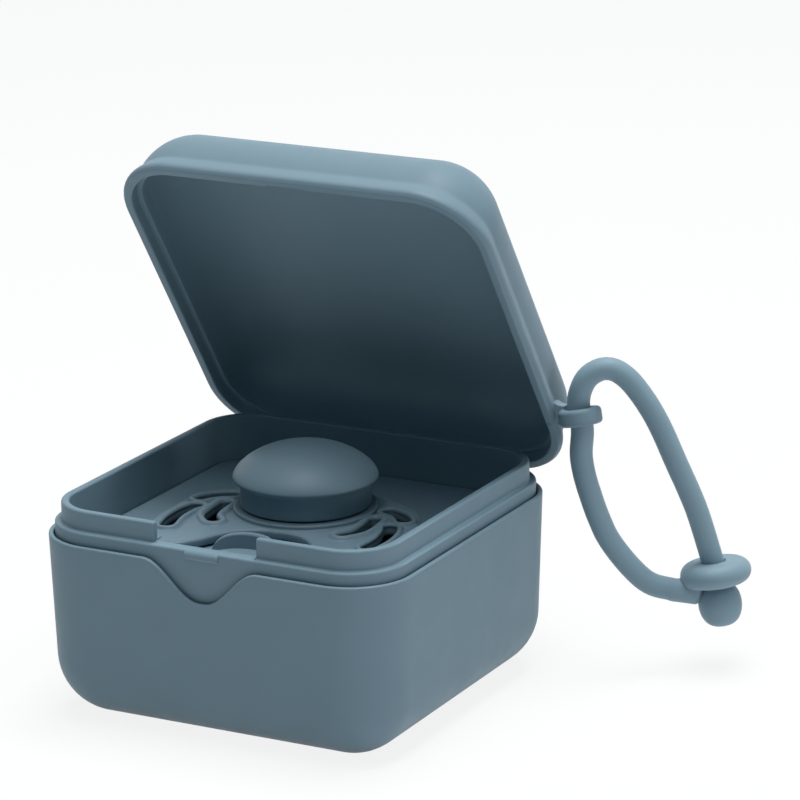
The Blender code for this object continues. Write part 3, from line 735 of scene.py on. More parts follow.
@dataclass(frozen=True)
class DrawnSteel:
    """Drawn steel wire with fine lines along X."""

    colour: Triple = (0.56, 0.57, 0.58)
    roughness: float = 0.32

    def material(self, name: str) -> bpy.types.Material:
        """Makes the material."""
        recipe = Recipe(name)
        stretch = recipe.add("ShaderNodeMapping")
        stretch.inputs["Scale"].default_value = (0.04, 1.0, 1.0)
        recipe.link(recipe.place, stretch.inputs["Vector"])
        recipe.place = stretch.outputs["Vector"]
        lines = recipe.clouds(0.12 * MM, 3.0, 0.6)
        base = recipe.tint(
            shifted(self.colour, -0.12), shifted(self.colour, 0.06), recipe.spread(lines, 0.0, 1.0)
        )
        recipe.link(base, recipe.shader.inputs["Base Color"])
        recipe.link(
            recipe.spread(lines, self.roughness - 0.08, self.roughness + 0.1),
            recipe.shader.inputs["Roughness"],
        )
        recipe.link(recipe.bump(lines, 0.008 * MM, 0.4), recipe.shader.inputs["Normal"])
        recipe.shader.inputs["Metallic"].default_value = 1.0
        return recipe.material


@dataclass(frozen=True)
class Palette:
    """The finishes of the whole box, made once."""

    slate: Triple = (0.160, 0.240, 0.290)

    def casing(self) -> bpy.types.Material:
        """The casing's plastic."""
        return MattPlastic(self.slate).material("casing_plastic")

    def guard(self) -> bpy.types.Material:
        """The pacifier's plastic."""
        return MattPlastic(shifted(self.slate, -0.05), roughness=0.47, grain_depth=0.22).material(
            "pacifier_plastic"
        )

    def strap(self) -> bpy.types.Material:
        """The strap's silicone."""
        return SoftSilicone(shifted(self.slate, 0.2)).material("strap_silicone")

    def teat(self) -> bpy.types.Material:
        """The teat's silicone."""
        return SoftSilicone(shifted(self.slate, 0.06), roughness=0.5, bloom=0.1).material(
            "teat_silicone"
        )

    def pin(self) -> bpy.types.Material:
        """The hinge pin's steel."""
        return DrawnSteel().material("hinge_steel")


# ---------------------------------------------------------------- the casing


@dataclass(frozen=True)
class Heights:
    """The levels that the casing's pieces share, from the box's own sizes."""

    shell_height: float = 33.0 * MM
    seat_gap: float = 0.30 * MM
    wall_gap: float = 0.25 * MM
    shell_wall: float = 0.9 * MM
    shell_floor: float = 1.6 * MM
    foot_round: float = 10.6 * MM
    draft: float = 1.2 * MM
    hinge_setback: float = 1.35 * MM
    hinge_drop: float = 0.9 * MM
    knuckle_radius: float = 1.9 * MM
    pin_radius: float = 0.8 * MM
    lid_knuckle_width: float = 16.0 * MM
    shell_knuckle_width: float = 6.0 * MM
    liner_rise: float = 2.15 * MM
    lip_rise: float = 3.55 * MM
    open_deg: float = 56.0

    @property
    def liner_rim(self) -> float:
        """The top of the liner's ledge."""
        return self.shell_height + self.liner_rise

    @property
    def lip_top(self) -> float:
        """The top of the liner's lip."""
        return self.liner_rim + self.lip_rise

    @property
    def lid_rim(self) -> float:
        """The lid's rim when it is shut."""
        return self.shell_height + self.seat_gap

    def hinge(self, outline: Outline) -> Vector:
        """The middle of the hinge pin."""
        return Vector(
            (0, outline.depth / 2 + self.hinge_setback, self.shell_height - self.hinge_drop)
        )

    def side_inset(self, height: float) -> float:
        """How far the drafted side stands in from the rim at a height."""
        return self.draft * (1 - height / self.shell_height)

    def foot(self, radius: float, base: float, extra: float, chords: int = 14) -> list[Pair]:
        """The rounded foot of a drafted wall.

        Args:
            radius: the foot's radius.
            base: the height of its underside.
            extra: how far the wall stands in from the casing's side.
            chords: the number of chords in the round.

        Returns:
            The (inset, height) points from the underside up.
        """
        points = []
        for step in range(chords + 1):
            turn = math.radians(90 * step / chords)
            height = base + radius * (1 - math.cos(turn))
            points.append((self.side_inset(height) + extra + radius * (1 - math.sin(turn)), height))
        return points


@dataclass
class OuterShell:
    """The outer casing, with the thumb scoop in its front and its hinge knuckles behind."""

    outline: Outline
    levels: Heights
    scoop_width: float = 22.4 * MM
    scoop_depth: float = 6.9 * MM
    scoop_flat: float = 1.0 * MM
    rim_round: float = 0.32 * MM
    columns: int = 50

    def profile(self) -> list[Pair]:
        """The wall's section, from the underside up the outside and down the inside."""
        levels = self.levels
        outside = levels.foot(levels.foot_round, 0, 0)
        outside.append((levels.side_inset(24 * MM), 24 * MM))
        rim = rounded_corners(
            [
                (levels.side_inset(31 * MM), 31 * MM, 0),
                (0, levels.shell_height, self.rim_round),
                (levels.shell_wall, levels.shell_height, self.rim_round),
                (levels.shell_wall, 31 * MM, 0),
            ],
            5,
        )
        inside = [(levels.shell_wall + levels.side_inset(24 * MM), 24 * MM)]
        inner = levels.foot(levels.foot_round - levels.shell_floor, levels.shell_floor, levels.shell_wall, 8)
        return [*outside, *rim, *inside, *reversed(inner)]

    def scoop_fall(self, x: float) -> float:
        """How far the rim drops at one place along the front."""
        edge, flat = self.scoop_width / 2, self.scoop_flat / 2
        reach = abs(x)
        if reach >= edge:
            return 0.0
        if reach <= flat:
            return self.scoop_depth
        share = (edge - reach) / (edge - flat)
        return self.scoop_depth * (1 - math.cos(math.pi * share)) / 2

    def press_scoop(self, shell: Workpiece) -> None:
        """Presses the thumb scoop into the front rim, column by column."""
        levels, half = self.levels, self.outline.depth / 2
        straight = self.outline.width / 2 - self.outline.corner
        edges_x = [
            (self.scoop_width / 2) * (2 * step / self.columns - 1) for step in range(self.columns + 1)
        ]
        edges_x = [x for x in edges_x if abs(x) < straight]
        for x in edges_x:
            shell.pick(
                Element.FACE,
                lambda f: f.calc_center_median().y < -half + 4 * MM
                and min(v.co.z for v in f.verts) > 5 * MM and len(f.verts) == 4,
            )
            bpy.ops.mesh.bisect(plane_co=(x, 0, 0), plane_no=(1, 0, 0))
        low = 30.9 * MM
        for x in edges_x:
            fall = self.scoop_fall(x)
            if fall <= 0:
                continue
            for level_share in (0,):
                shell.pick(
                    Element.POINT,
                    lambda v: abs(v.co.x - x) < 0.01 * MM and v.co.y < -half + 4 * MM and v.co.z > low,
                )
                lean = levels.draft / levels.shell_height * fall
                bpy.ops.transform.translate(value=(0, lean, -fall))

    def knuckle(self, side: Side) -> Workpiece:
        """One hinge knuckle with its web to the back wall."""
        levels = self.levels
        half = levels.shell_knuckle_width / 2
        ring = rounded_corners(
            [
                (levels.pin_radius + levels.seat_gap, 0, 0),
                (levels.pin_radius + levels.seat_gap, half, 0.2 * MM),
                (levels.knuckle_radius, half, 0.35 * MM),
                (levels.knuckle_radius, -half, 0.35 * MM),
                (levels.pin_radius + levels.seat_gap, -half, 0.2 * MM),
            ],
            4,
        )
        centre_x = side.value * (levels.lid_knuckle_width / 2 + levels.seat_gap + half)
        place = Matrix.Translation(levels.hinge(self.outline) + Vector((centre_x, 0, 0)))
        piece = Workpiece.spun(f"shell_knuckle_{side.name.lower()}", ring, 40)
        return piece.place(place @ Matrix.Rotation(math.radians(90), 4, "Y"))

    def build(self, look: bpy.types.Material) -> None:
        """Makes the shell and its knuckles."""
        levels = self.levels
        shell = Workpiece.lofted("casing_shell", self.outline, self.profile())
        self.press_scoop(shell)
        rest_hands()
        gap_x = levels.lid_knuckle_width / 2 + levels.seat_gap
        back = self.outline.depth / 2
        hinge = levels.hinge(self.outline)
        slot = Workpiece.block(
            "hinge_slot",
            (-gap_x, back - levels.shell_wall - levels.wall_gap, hinge.z - levels.knuckle_radius - levels.seat_gap),
            (gap_x, back + 3 * MM, levels.shell_height + 2 * MM),
        )
        rest_hands()
        shell.carve(slot)
        shell.shade(32)
        shell.finish("base", "casing", look, "outer_shell")
        for side in Side:
            self.knuckle(side).shade().finish("base", "casing", look)


@dataclass
class Liner:
    """The stepped liner that sits in the shell, with its raised lip, notch and latch bar."""

    outline: Outline
    levels: Heights
    ledge_width: float = 1.2 * MM
    lip_wall: float = 1.45 * MM
    floor: float = 1.6 * MM
    wall: float = 1.6 * MM
    shoulder_drop: float = 9.5 * MM
    shoulder_width: float = 2.2 * MM
    tray_drop: float = 4.4 * MM
    tray_ledge: float = 1.2 * MM
    notch_width: float = 20.0 * MM
    nub_width: float = 6.8 * MM
    nub_height: float = 1.7 * MM
    nub_proud: float = 0.45 * MM

    @property
    def gap_inset(self) -> float:
        """How far the liner's band stands in from the casing's side."""
        return self.levels.shell_wall + self.levels.wall_gap

    @property
    def lip_inset(self) -> float:
        """How far the lip's outside stands in."""
        return self.gap_inset + self.ledge_width

    @property
    def lip_inner(self) -> float:
        """How far the lip's inside stands in."""
        return self.lip_inset + self.lip_wall

    @property
    def tray_level(self) -> float:
        """The ledge that the tray rests on."""
        return self.levels.shell_height - self.tray_drop

    def profile(self) -> list[Pair]:
        """The liner's section, from the underside up the outside and down the inside."""
        levels = self.levels
        low_inset = self.gap_inset + self.shoulder_width
        shoulder = levels.shell_height - self.shoulder_drop
        base = levels.shell_floor + levels.seat_gap
        foot = levels.foot_round - levels.shell_floor - self.shoulder_width / 2
        outside = levels.foot(foot, base, low_inset, 8)
        upper = rounded_corners(
            [
                (low_inset + levels.side_inset(shoulder), shoulder - self.shoulder_width, 0),
                (self.gap_inset + levels.side_inset(shoulder), shoulder, 0.5 * MM),
                (self.gap_inset, levels.shell_height, 0),
                (self.gap_inset, levels.liner_rim, 0.38 * MM),
                (self.lip_inset, levels.liner_rim, 0.25 * MM),
                (self.lip_inset, levels.lip_top, 0.42 * MM),
                (self.lip_inner, levels.lip_top, 0.42 * MM),
                (self.lip_inner, self.tray_level, 0.3 * MM),
                (self.lip_inner + self.tray_ledge, self.tray_level, 0.3 * MM),
                (low_inset + self.wall + levels.side_inset(20 * MM), 20 * MM, 0),
            ],
            5,
        )
        inner = levels.foot(foot - self.wall, base + self.floor, low_inset + self.wall, 12)
        return [*outside, *upper, *reversed(inner)]

    def latch_bar(self) -> Workpiece:
        """The small rounded bar under the rim that the lid snaps over."""
        half = self.nub_width / 2
        radius = self.nub_height / 2
        bar = Workpiece.spun(
            "latch_bar",
            rounded_corners([(0, half, 0), (radius, half, 0.5 * MM), (radius, -half, 0.5 * MM), (0, -half, 0)], 6),
            32,
        )
        centre = Vector(
            (0, -self.outline.depth / 2 + self.gap_inset + radius - self.nub_proud,
             self.levels.liner_rim - radius - 0.02 * MM)
        )
        return bar.place(Matrix.Translation(centre) @ Matrix.Rotation(math.radians(90), 4, "Y"))

    def build(self, look: bpy.types.Material) -> None:
        """Makes the liner, cuts its notch and adds its latch bar."""
        liner = Workpiece.lofted("liner_cup", self.outline, self.profile())
        front = -self.outline.depth / 2
        notch = Workpiece.block(
            "notch",
            (-self.notch_width / 2, front, self.levels.liner_rim),
            (self.notch_width / 2, front + self.lip_inner + 2 * MM, self.levels.lip_top + 2 * MM),
        )
        rest_hands()
        liner.carve(notch)
        liner.pick(
            Element.EDGE,
            lambda e: len(e.link_faces) == 2
            and e.calc_face_angle(0) > math.radians(50)
            and all(
                abs(abs(v.co.x) - self.notch_width / 2) < 0.01 * MM or abs(v.co.z - self.levels.liner_rim) < 0.01 * MM
                for v in e.verts
            )
            and all(v.co.y < front + self.lip_inner + 0.1 * MM and abs(v.co.x) < self.notch_width / 2 + 0.01 * MM
                    and v.co.z > self.levels.liner_rim - 0.01 * MM for v in e.verts),
        )
        bpy.ops.mesh.bevel(offset=0.32 * MM, segments=4, affect="EDGES", profile=0.5)
        liner.shade(32)
        liner.finish("base", "casing", look, "liner")
        self.latch_bar().shade().finish("base", "casing", look)


@dataclass(frozen=True)
class GuardShape:
    """The outline of the pacifier's guard and the way it lies in the tray."""

    half_width: float = 23.3 * MM
    front: float = 26.0 * MM
    back: float = 13.5 * MM
    set_back: float = 2.65 * MM
    turn_deg: float = 6.0
    shares: tuple[Pair, ...] = (
        (0.000, -0.523), (0.155, -0.538), (0.283, -0.604), (0.386, -0.719), (0.481, -0.862),
        (0.601, -0.973), (0.747, -1.000), (0.884, -0.900), (0.970, -0.715), (1.000, -0.500),
        (0.987, -0.269), (0.957, -0.077), (0.897, 0.163), (0.798, 0.415), (0.661, 0.600),
        (0.506, 0.741), (0.343, 0.874), (0.172, 0.970), (0.000, 1.000),
    )

    @property
    def place(self) -> Matrix:
        """Where the pacifier lies in the box."""
        turn = Matrix.Rotation(math.radians(self.turn_deg), 4, "Z")
        return Matrix.Translation((0, self.set_back, 0)) @ turn

    def spot(self, share_x: float, share_y: float) -> Vector:
        """A point of the guard from its shares of the width and of the front or back reach."""
        reach = self.front if share_y < 0 else self.back
        return Vector((share_x * self.half_width, share_y * reach, 0))

    def loop(self, inset: float = 0.0, runs: int = 168) -> list[Vector]:
        """The guard's outline, counter-clockwise, drawn in by an inset."""
        right = [self.spot(*pair) for pair in self.shares]
        left = [Vector((-point.x, point.y, 0)) for point in reversed(right[1:-1])]
        line = smooth_line([*right, *left], runs, closed=True)
        drawn = []
        for i, point in enumerate(line):
            ahead = line[(i + 1) % len(line)] - line[i - 1]
            drawn.append(point + Vector((-ahead.y, ahead.x, 0)).normalized() * inset)
        return drawn


@dataclass
class Tray:
    """The inner tray, open under the guard, with the arched finger tab."""

    outline: Outline
    levels: Heights
    liner: Liner
    guard: GuardShape = GuardShape()
    thickness: float = 1.5 * MM
    seat_width: float = 2.4 * MM
    tab_width: float = 12.4 * MM
    tab_height: float = 2.8 * MM
    tab_wall: float = 1.2 * MM
    tab_sag: float = 4.2 * MM
    tab_back: float = 15.6 * MM
    runs: int = 40

    @property
    def base(self) -> float:
        """The tray's underside."""
        return self.liner.tray_level + self.levels.seat_gap

    @property
    def top(self) -> float:
        """The tray's upper face."""
        return self.base + self.thickness

    def tab(self) -> Workpiece:
        """The tab: a thin arched wall, drawn out along its arc from a rounded section."""
        half = self.tab_wall / 2
        radius = self.tab_width**2 / 8 / self.tab_sag + self.tab_sag / 2
        swing = math.asin(self.tab_width / 2 / radius)
        root = self.top - self.thickness / 2
        full = self.tab_height + self.thickness / 2
        rest_hands()
        bpy.ops.mesh.primitive_plane_add(size=1, enter_editmode=True)
        bpy.ops.transform.resize(value=(self.tab_wall, full, 1), center_override=(0, 0, 0))
        bpy.ops.transform.rotate(
            value=-math.radians(90), orient_axis="X", center_override=(0, 0, 0)
        )
        bpy.ops.transform.rotate(
            value=-math.radians(90), orient_axis="Z", center_override=(0, 0, 0)
        )
        tab = Workpiece("tray_tab")
        tab.pick(Element.POINT, lambda v: v.co.z > 0)
        bpy.ops.mesh.bevel(offset=half * 0.9, segments=6, affect="VERTICES", profile=0.5)
        bpy.ops.mesh.select_all(action="SELECT")
        spots = []
        for step in range(self.runs + 1):
            turn = swing * (2 * step / self.runs - 1)
            share = abs(2 * step / self.runs - 1)
            spots.append(
                (
                    Vector((radius * math.sin(turn), radius * (math.cos(turn) - 1) - self.tab_back, 0)),
                    max(math.sqrt(max(1 - share**3.6, 0.0)), 0.16),
                )
            )
        start, rise = spots[0]
        bpy.ops.transform.translate(value=(start.x, start.y, root + full / 2))
        bpy.ops.transform.resize(value=(1, 1, rise), center_override=(0, 0, root))
        for (here, low), (there, high) in zip(spots, spots[1:]):
            bpy.ops.mesh.extrude_region_move(TRANSFORM_OT_translate={"value": there - here})
            bpy.ops.transform.resize(value=(1, 1, high / low), center_override=(0, 0, root))
        bpy.ops.mesh.select_all(action="SELECT")
        bpy.ops.mesh.normals_make_consistent(inside=False)
        bpy.ops.object.mode_set(mode="OBJECT")
        return tab

    def build(self, look: bpy.types.Material) -> None:
        """Makes the tray plate and its tab."""
        inset = self.liner.lip_inner + self.levels.seat_gap
        plate = Workpiece.lofted(
            "tray_plate", self.outline,
            rounded_corners(
                [
                    (inset + 1.2 * MM, self.base, 0),
                    (inset, self.base, 0.3 * MM),
                    (inset, self.top, 0.35 * MM),
                    (inset + 1.2 * MM, self.top, 0),
                ],
                4,
            ),
        )
        middle = Matrix.Translation((0, 0, self.base + self.thickness / 2))
        plate.carve(
            from_curve(
                "tray_hole", [self.guard.loop(self.seat_width)], self.thickness, 0.0,
                self.guard.place @ middle,
            )
        )
        plate.shade(32).finish("tray", "casing", look, "tray")
        self.tab().shade(40).finish("tray", "casing", look)


@dataclass
class HingePin:
    """The steel pin through the knuckles."""

    outline: Outline
    levels: Heights

    def build(self, look: bpy.types.Material) -> None:
        """Makes the pin with its chamfered ends."""
        levels = self.levels
        half = levels.lid_knuckle_width / 2 + levels.seat_gap + levels.shell_knuckle_width
        radius = levels.pin_radius
        pin = Workpiece.spun(
            "hinge_pin_rod",
            rounded_corners([(0, half, 0), (radius, half, 0.25 * MM), (radius, -half, 0.25 * MM), (0, -half, 0)], 4),
            32,
        )
        pin.place(
            Matrix.Translation(levels.hinge(self.outline)) @ Matrix.Rotation(math.radians(90), 4, "Y")
        )
        pin.shade().finish("lid", "pin", look, "hinge_pin")


@dataclass
class Lid:
    """The deep lid, modelled shut and turned open about the hinge, with its strap eyelet."""

    outline: Outline
    levels: Heights
    height: float = 16.2 * MM
    top_round: float = 11.4 * MM
    top_wall: float = 1.6 * MM
    upper_wall: float = 1.8 * MM
    rim_wall: float = 0.8 * MM
    bead_proud: float = 1.1 * MM
    bead_height: float = 3.8 * MM
    eyelet_out: float = 5.3 * MM
    eyelet_forward: float = 15.5 * MM
    eyelet_above: float = 2.25 * MM
    eyelet_wall: float = 1.5 * MM
    eyelet_length: float = 3.4 * MM
    eyelet_toe_deg: float = 12.9
    eyelet_lift_deg: float = 41.2
    bore_radius: float = 2.35 * MM
    arm_width: float = 2.6 * MM
    arm_height: float = 3.6 * MM
    latch_width: float = 6.8 * MM
    latch_recess: float = 0.45 * MM
    bead_shares: tuple[Pair, ...] = ((-0.62, 0.0), (-1.0, 0.17), (-0.97, 0.38), (-0.45, 0.72), (0.0, 1.0))

    @property
    def opening(self) -> Matrix:
        """The turn from the shut lid to the open one."""
        hinge = self.levels.hinge(self.outline)
        turn = Matrix.Rotation(-math.radians(self.levels.open_deg), 4, "X")
        return Matrix.Translation(hinge) @ turn @ Matrix.Translation(-hinge)

    @property
    def eyelet_spot(self) -> Vector:
        """The eyelet's centre on the shut lid."""
        return Vector(
            (
                self.outline.width / 2 + self.eyelet_out,
                self.levels.hinge(self.outline).y - self.eyelet_forward,
                self.levels.lid_rim + self.eyelet_above,
            )
        )

    @property
    def eyelet_axis(self) -> Vector:
        """The line of the eyelet's bore on the shut lid."""
        toe, lift = math.radians(self.eyelet_toe_deg), math.radians(self.eyelet_lift_deg)
        ahead = math.cos(toe)
        return Vector((-math.sin(toe), -ahead * math.cos(lift), ahead * math.sin(lift)))

    def quarter(self, inset: float, top: float, radius: float, chords: int = 14) -> list[Pair]:
        """The rounded shoulder of the lid, from its side up to its top."""
        points = []
        for step in range(chords + 1):
            turn = math.radians(90 * step / chords)
            points.append((inset + radius * (1 - math.cos(turn)), top - radius * (1 - math.sin(turn))))
        return points

    def profile(self) -> list[Pair]:
        """The lid's section, from its top down the outside and up the inside."""
        levels = self.levels
        top = levels.shell_height + self.height
        ledge = levels.liner_rim + levels.seat_gap
        outside = list(reversed(self.quarter(0, top, self.top_round)))
        outside.append((0, levels.lid_rim + self.bead_height + 0.6 * MM))
        bead = smooth_line(
            [
                (self.bead_proud * out, levels.lid_rim + self.bead_height * up, 0)
                for out, up in reversed(self.bead_shares)
            ],
            16,
        )
        rim = rounded_corners(
            [
                (bead[-2].x, bead[-2].y, 0),
                (bead[-1].x, bead[-1].y, 0.3 * MM),
                (self.rim_wall, levels.lid_rim, 0.3 * MM),
                (self.rim_wall, ledge, 0.3 * MM),
                (self.upper_wall, ledge, 0.3 * MM),
                (self.upper_wall, ledge + 3 * MM, 0),
            ],
            4,
        )
        inside = self.quarter(self.upper_wall, top - self.top_wall, self.top_round - self.top_wall)
        return [*outside, *[(p.x, p.y) for p in bead[:-2]], *rim, *inside]

    def eyelet(self) -> Workpiece:
        """The eyelet: a ring on a webbed arm, run together into one skin."""
        wall, half = self.eyelet_wall, self.eyelet_length / 2
        ring = Workpiece.spun(
            "strap_eyelet",
            [
                *rounded_corners(
                    [
                        (self.bore_radius, 0, 0),
                        (self.bore_radius, half * 0.9, wall / 3),
                        (self.bore_radius + wall, half * 0.9, wall * 0.75),
                        (self.bore_radius + wall, -half * 0.9, wall * 0.75),
                        (self.bore_radius, -half * 0.9, wall / 3),
                        (self.bore_radius, -0.02 * MM, 0),
                    ],
                    5,
                )
            ],
            48,
        )
        spot = self.eyelet_spot
        turn = Vector((0, 0, 1)).rotation_difference(self.eyelet_axis).to_matrix().to_4x4()
        ring.place(Matrix.Translation(spot) @ turn)
        wide, high = self.arm_width / 2, self.arm_height / 2
        near = self.outline.width / 2 - self.rim_wall / 2
        far = spot.x - self.bore_radius - wall / 3
        arm = Workpiece.block(
            "eyelet_arm", (near, -high * 1.25, -wide * 1.2), (near + 0.6 * MM, high * 1.25, wide * 1.2)
        )
        arm.pick(Element.FACE, lambda f: f.normal.x > 0.9)
        run = far - near - 0.6 * MM
        for share, scale in ((0.3, 0.88), (0.3, 0.9), (0.4, 0.97)):
            bpy.ops.mesh.extrude_region_move(TRANSFORM_OT_translate={"value": (run * share, 0, 0)})
            bpy.ops.transform.resize(value=(1, scale, scale), center_override=(0, 0, 0))
        rest_hands()
        tilt = Matrix.Rotation(-math.radians(self.eyelet_lift_deg), 4, "X")
        arm.place(Matrix.Translation((0, spot.y, spot.z)) @ tilt)
        ring.join(arm)
        ring.melt(0.16 * MM, 7)
        return ring

    def knuckle(self) -> Workpiece:
        """The lid's own barrel on the hinge pin."""
        levels = self.levels
        half = levels.lid_knuckle_width / 2
        bore = levels.pin_radius + levels.seat_gap
        barrel = Workpiece.spun(
            "lid_knuckle",
            rounded_corners(
                [
                    (bore, 0, 0),
                    (bore, half, 0.2 * MM),
                    (levels.knuckle_radius, half, 0.35 * MM),
                    (levels.knuckle_radius, -half, 0.35 * MM),
                    (bore, -half, 0.2 * MM),
                ],
                4,
            ),
            40,
        )
        return barrel.place(
            Matrix.Translation(levels.hinge(self.outline)) @ Matrix.Rotation(math.radians(90), 4, "Y")
        )

    def build(self, look: bpy.types.Material) -> None:
        """Makes the lid, its knuckle and its eyelet, and turns them open."""
        levels = self.levels
        lid = Workpiece.lofted("lid_cover", self.outline, self.profile())
        for side in Side:
            gap = levels.seat_gap
            middle = side.value * (levels.lid_knuckle_width / 2 + gap + levels.shell_knuckle_width / 2)
            half = levels.shell_knuckle_width / 2 + gap
            radius = levels.knuckle_radius + gap
            room = Workpiece.spun(
                f"knuckle_room_{side.name.lower()}", [(0, half), (radius, half), (radius, -half), (0, -half)], 40
            )
            room.place(
                Matrix.Translation(levels.hinge(self.outline) + Vector((middle, 0, 0)))
                @ Matrix.Rotation(math.radians(90), 4, "Y")
            )
            lid.carve(room)
        half = self.latch_width / 2 + levels.seat_gap
        front = -self.outline.depth / 2 + self.rim_wall
        latch_room = Workpiece.block(
            "latch_room",
            (-half, front - self.latch_recess, levels.lid_rim - 1 * MM),
            (half, front + levels.seat_gap, levels.liner_rim + levels.seat_gap),
        )
        rest_hands()
        lid.carve(latch_room)
        lid.place(self.opening).shade(32).finish("lid", "casing", look, "lid")
        self.knuckle().place(self.opening).shade().finish("lid", "casing", look)
        self.eyelet().place(self.opening).shade(60).finish("lid", "casing", look)


# ---------------------------------------------------------------- the pacifier


@dataclass
class Pacifier:
    """The pacifier that the box holds: guard, knob and teat."""

    tray: Tray
    thickness: float = 1.7 * MM
    bore: float = 7.0 * MM
    rim_rise: float = 0.72 * MM
    collar_radius: float = 12.9 * MM
    collar_width: float = 2.9 * MM
    collar_rise: float = 0.85 * MM
    knob_radius: float = 12.9 * MM
    knob_dome: float = 5.95 * MM
    dome_power: float = 1.3
    band_radius: float = 11.6 * MM
    band_height: float = 4.1 * MM
    undercut: float = 0.95 * MM
    plug_radius: float = 4.2 * MM
    plug_length: float = 5.6 * MM
    flange_radius: float = 9.4 * MM
    teat_wall: float = 1.3 * MM
    teat_bulb: float = 8.2 * MM
    teat_clearance: float = 2.6 * MM
    slots: tuple[tuple[float, float, tuple[Pair, ...]], ...] = (
        (2.5 * MM, 0.95 * MM, ((0.811, -0.677), (0.841, -0.508), (0.828, -0.338), (0.794, -0.238))),
        (2.2 * MM, 1.3 * MM, ((0.524, -0.485), (0.601, -0.385), (0.618, -0.250), (0.614, -0.108))),
        (2.6 * MM, 1.0 * MM, ((0.644, 0.141), (0.730, 0.067), (0.798, -0.023), (0.833, -0.077))),
    )

    @property
    def base(self) -> float:
        """The guard's underside."""
        return self.tray.top + self.tray.levels.seat_gap

    @property
    def top(self) -> float:
        """The guard's upper face."""
        return self.base + self.thickness

    def guard(self) -> Workpiece:
        """The guard: a rounded plate run together with the piping round its slots."""
        shape = self.tray.guard
        loops = [shape.loop()]
        pipes = []
        for width, rim, shares in self.slots:
            for side in Side:
                path = smooth_line(
                    [
                        Vector((side.value * p.x, p.y, 0))
                        for p in (shape.spot(*pair) for pair in shares)
                    ],
                    14,
                )
                loops.append(slot_outline(path, width))
                pipe_line = slot_outline(path, width + rim)
                level = self.top + self.rim_rise - rim * 0.56
                pipes.append(
                    tube(
                        "slot_pipe", [Vector((p.x, p.y, level)) for p in pipe_line],
                        rim * 0.56, True, 4,
                    )
                )
        ring = [
            Vector((self.bore * math.cos(turn), self.bore * math.sin(turn), 0))
            for turn in (2 * math.pi * k / 64 for k in range(64))
        ]
        middle = Matrix.Translation((0, 0, self.base + self.thickness / 2))
        plate = from_curve(
            "pacifier_guard", [*loops, ring], self.thickness / 2, self.thickness * 0.3, middle
        )
        plate.join(*pipes)
        return plate.melt(0.2 * MM, 3)

    def collar(self) -> Workpiece:
        """The collar ring round the knob, with its soft foot on the guard."""
        top = self.top + self.collar_rise
        inner = self.collar_radius - self.collar_width
        low = self.base + self.thickness / 2
        section = rounded_corners(
            [
                (inner, low, 0),
                (inner, top, 0.3 * MM),
                (self.collar_radius, top, 0.75 * MM),
                (self.collar_radius, self.top + 0.12 * MM, 0.25 * MM),
                (self.collar_radius + 0.4 * MM, self.top - 0.1 * MM, 0),
                (self.collar_radius + 0.2 * MM, low, 0),
            ],
            6,
        )
        return Workpiece.spun("pacifier_collar", section, 96)

    def knob(self) -> Workpiece:
        """The domed knob with its rolled rim, band and hidden plug."""
        base = self.top + self.collar_rise + self.tray.levels.seat_gap
        equator = base + self.band_height + self.undercut
        dome = []
        for step in range(20):
            turn = math.radians(86 * step / 19)
            rise = self.knob_dome * math.cos(turn) ** self.dome_power
            dome.append((self.knob_radius * math.sin(turn), equator + rise))
        rolled = [
            (self.knob_radius, equator + 0.05 * MM),
            (self.knob_radius - 0.1 * MM, equator - self.undercut * 0.34),
            (self.knob_radius - 0.38 * MM, equator - self.undercut * 0.66),
            (self.knob_radius - 0.8 * MM, equator - self.undercut * 0.9),
        ]
        band = rounded_corners(
            [
                (*rolled[-1], 0),
                (self.band_radius, equator - self.undercut, 0.2 * MM),
                (self.band_radius, base, 0.28 * MM),
                (self.plug_radius, base, 0),
                (self.plug_radius, base - self.plug_length, 0.6 * MM),
                (0, base - self.plug_length, 0),
            ],
            5,
        )
        return Workpiece.spun("pacifier_knob_cap", [*dome, *rolled[:-1], *band], 96)

    def teat(self) -> Workpiece:
        """The hollow teat that hangs into the box."""
        liner_floor = 3.5 * MM
        length = self.base - liner_floor - self.teat_clearance
        tip = self.base - length
        gap = self.tray.levels.seat_gap
        shares = (
            (0.80, 0.90), (0.78, 0.76), (0.86, 0.62), (1.0, 0.42), (0.97, 0.22), (0.74, 0.07), (0.40, 0.012),
        )
        curve = smooth_line([(self.teat_bulb * r, tip + length * up, 0) for r, up in shares], 36)
        outside = [(p.x, p.y) for p in curve]
        inside = [
            (max(r - self.teat_wall, 0.4 * MM), z + (self.teat_wall if z < tip + length * 0.1 else 0))
            for r, z in outside
        ]
        inside = [p for k, p in enumerate(inside) if k == 0 or p[1] < inside[k - 1][1] - 0.01 * MM]
        collar_top = self.top + self.collar_rise
        flange = self.top + gap
        profile = [
            (self.plug_radius + gap, collar_top),
            (self.flange_radius, collar_top),
            (self.flange_radius, flange),
            (self.bore - gap, flange),
            *outside,
            (0, tip),
            (0, tip + self.teat_wall),
            *reversed(inside),
        ]
        return Workpiece.spun("teat", profile, 72)

    def build(self, plastic: bpy.types.Material, silicone: bpy.types.Material) -> None:
        """Makes the guard, collar, knob and teat."""
        place = self.tray.guard.place
        self.guard().place(place).shade(60).finish("pacifier", "casing", plastic, "pacifier_shield")
        self.collar().place(place).shade(40).finish("pacifier", "casing", plastic)
        self.knob().place(place).shade(40).finish("pacifier", "casing", plastic, "pacifier_knob")
        self.teat().place(place).shade(50).finish("pacifier", "silicone", silicone, "pacifier_nipple")


# ---------------------------------------------------------------- the strap


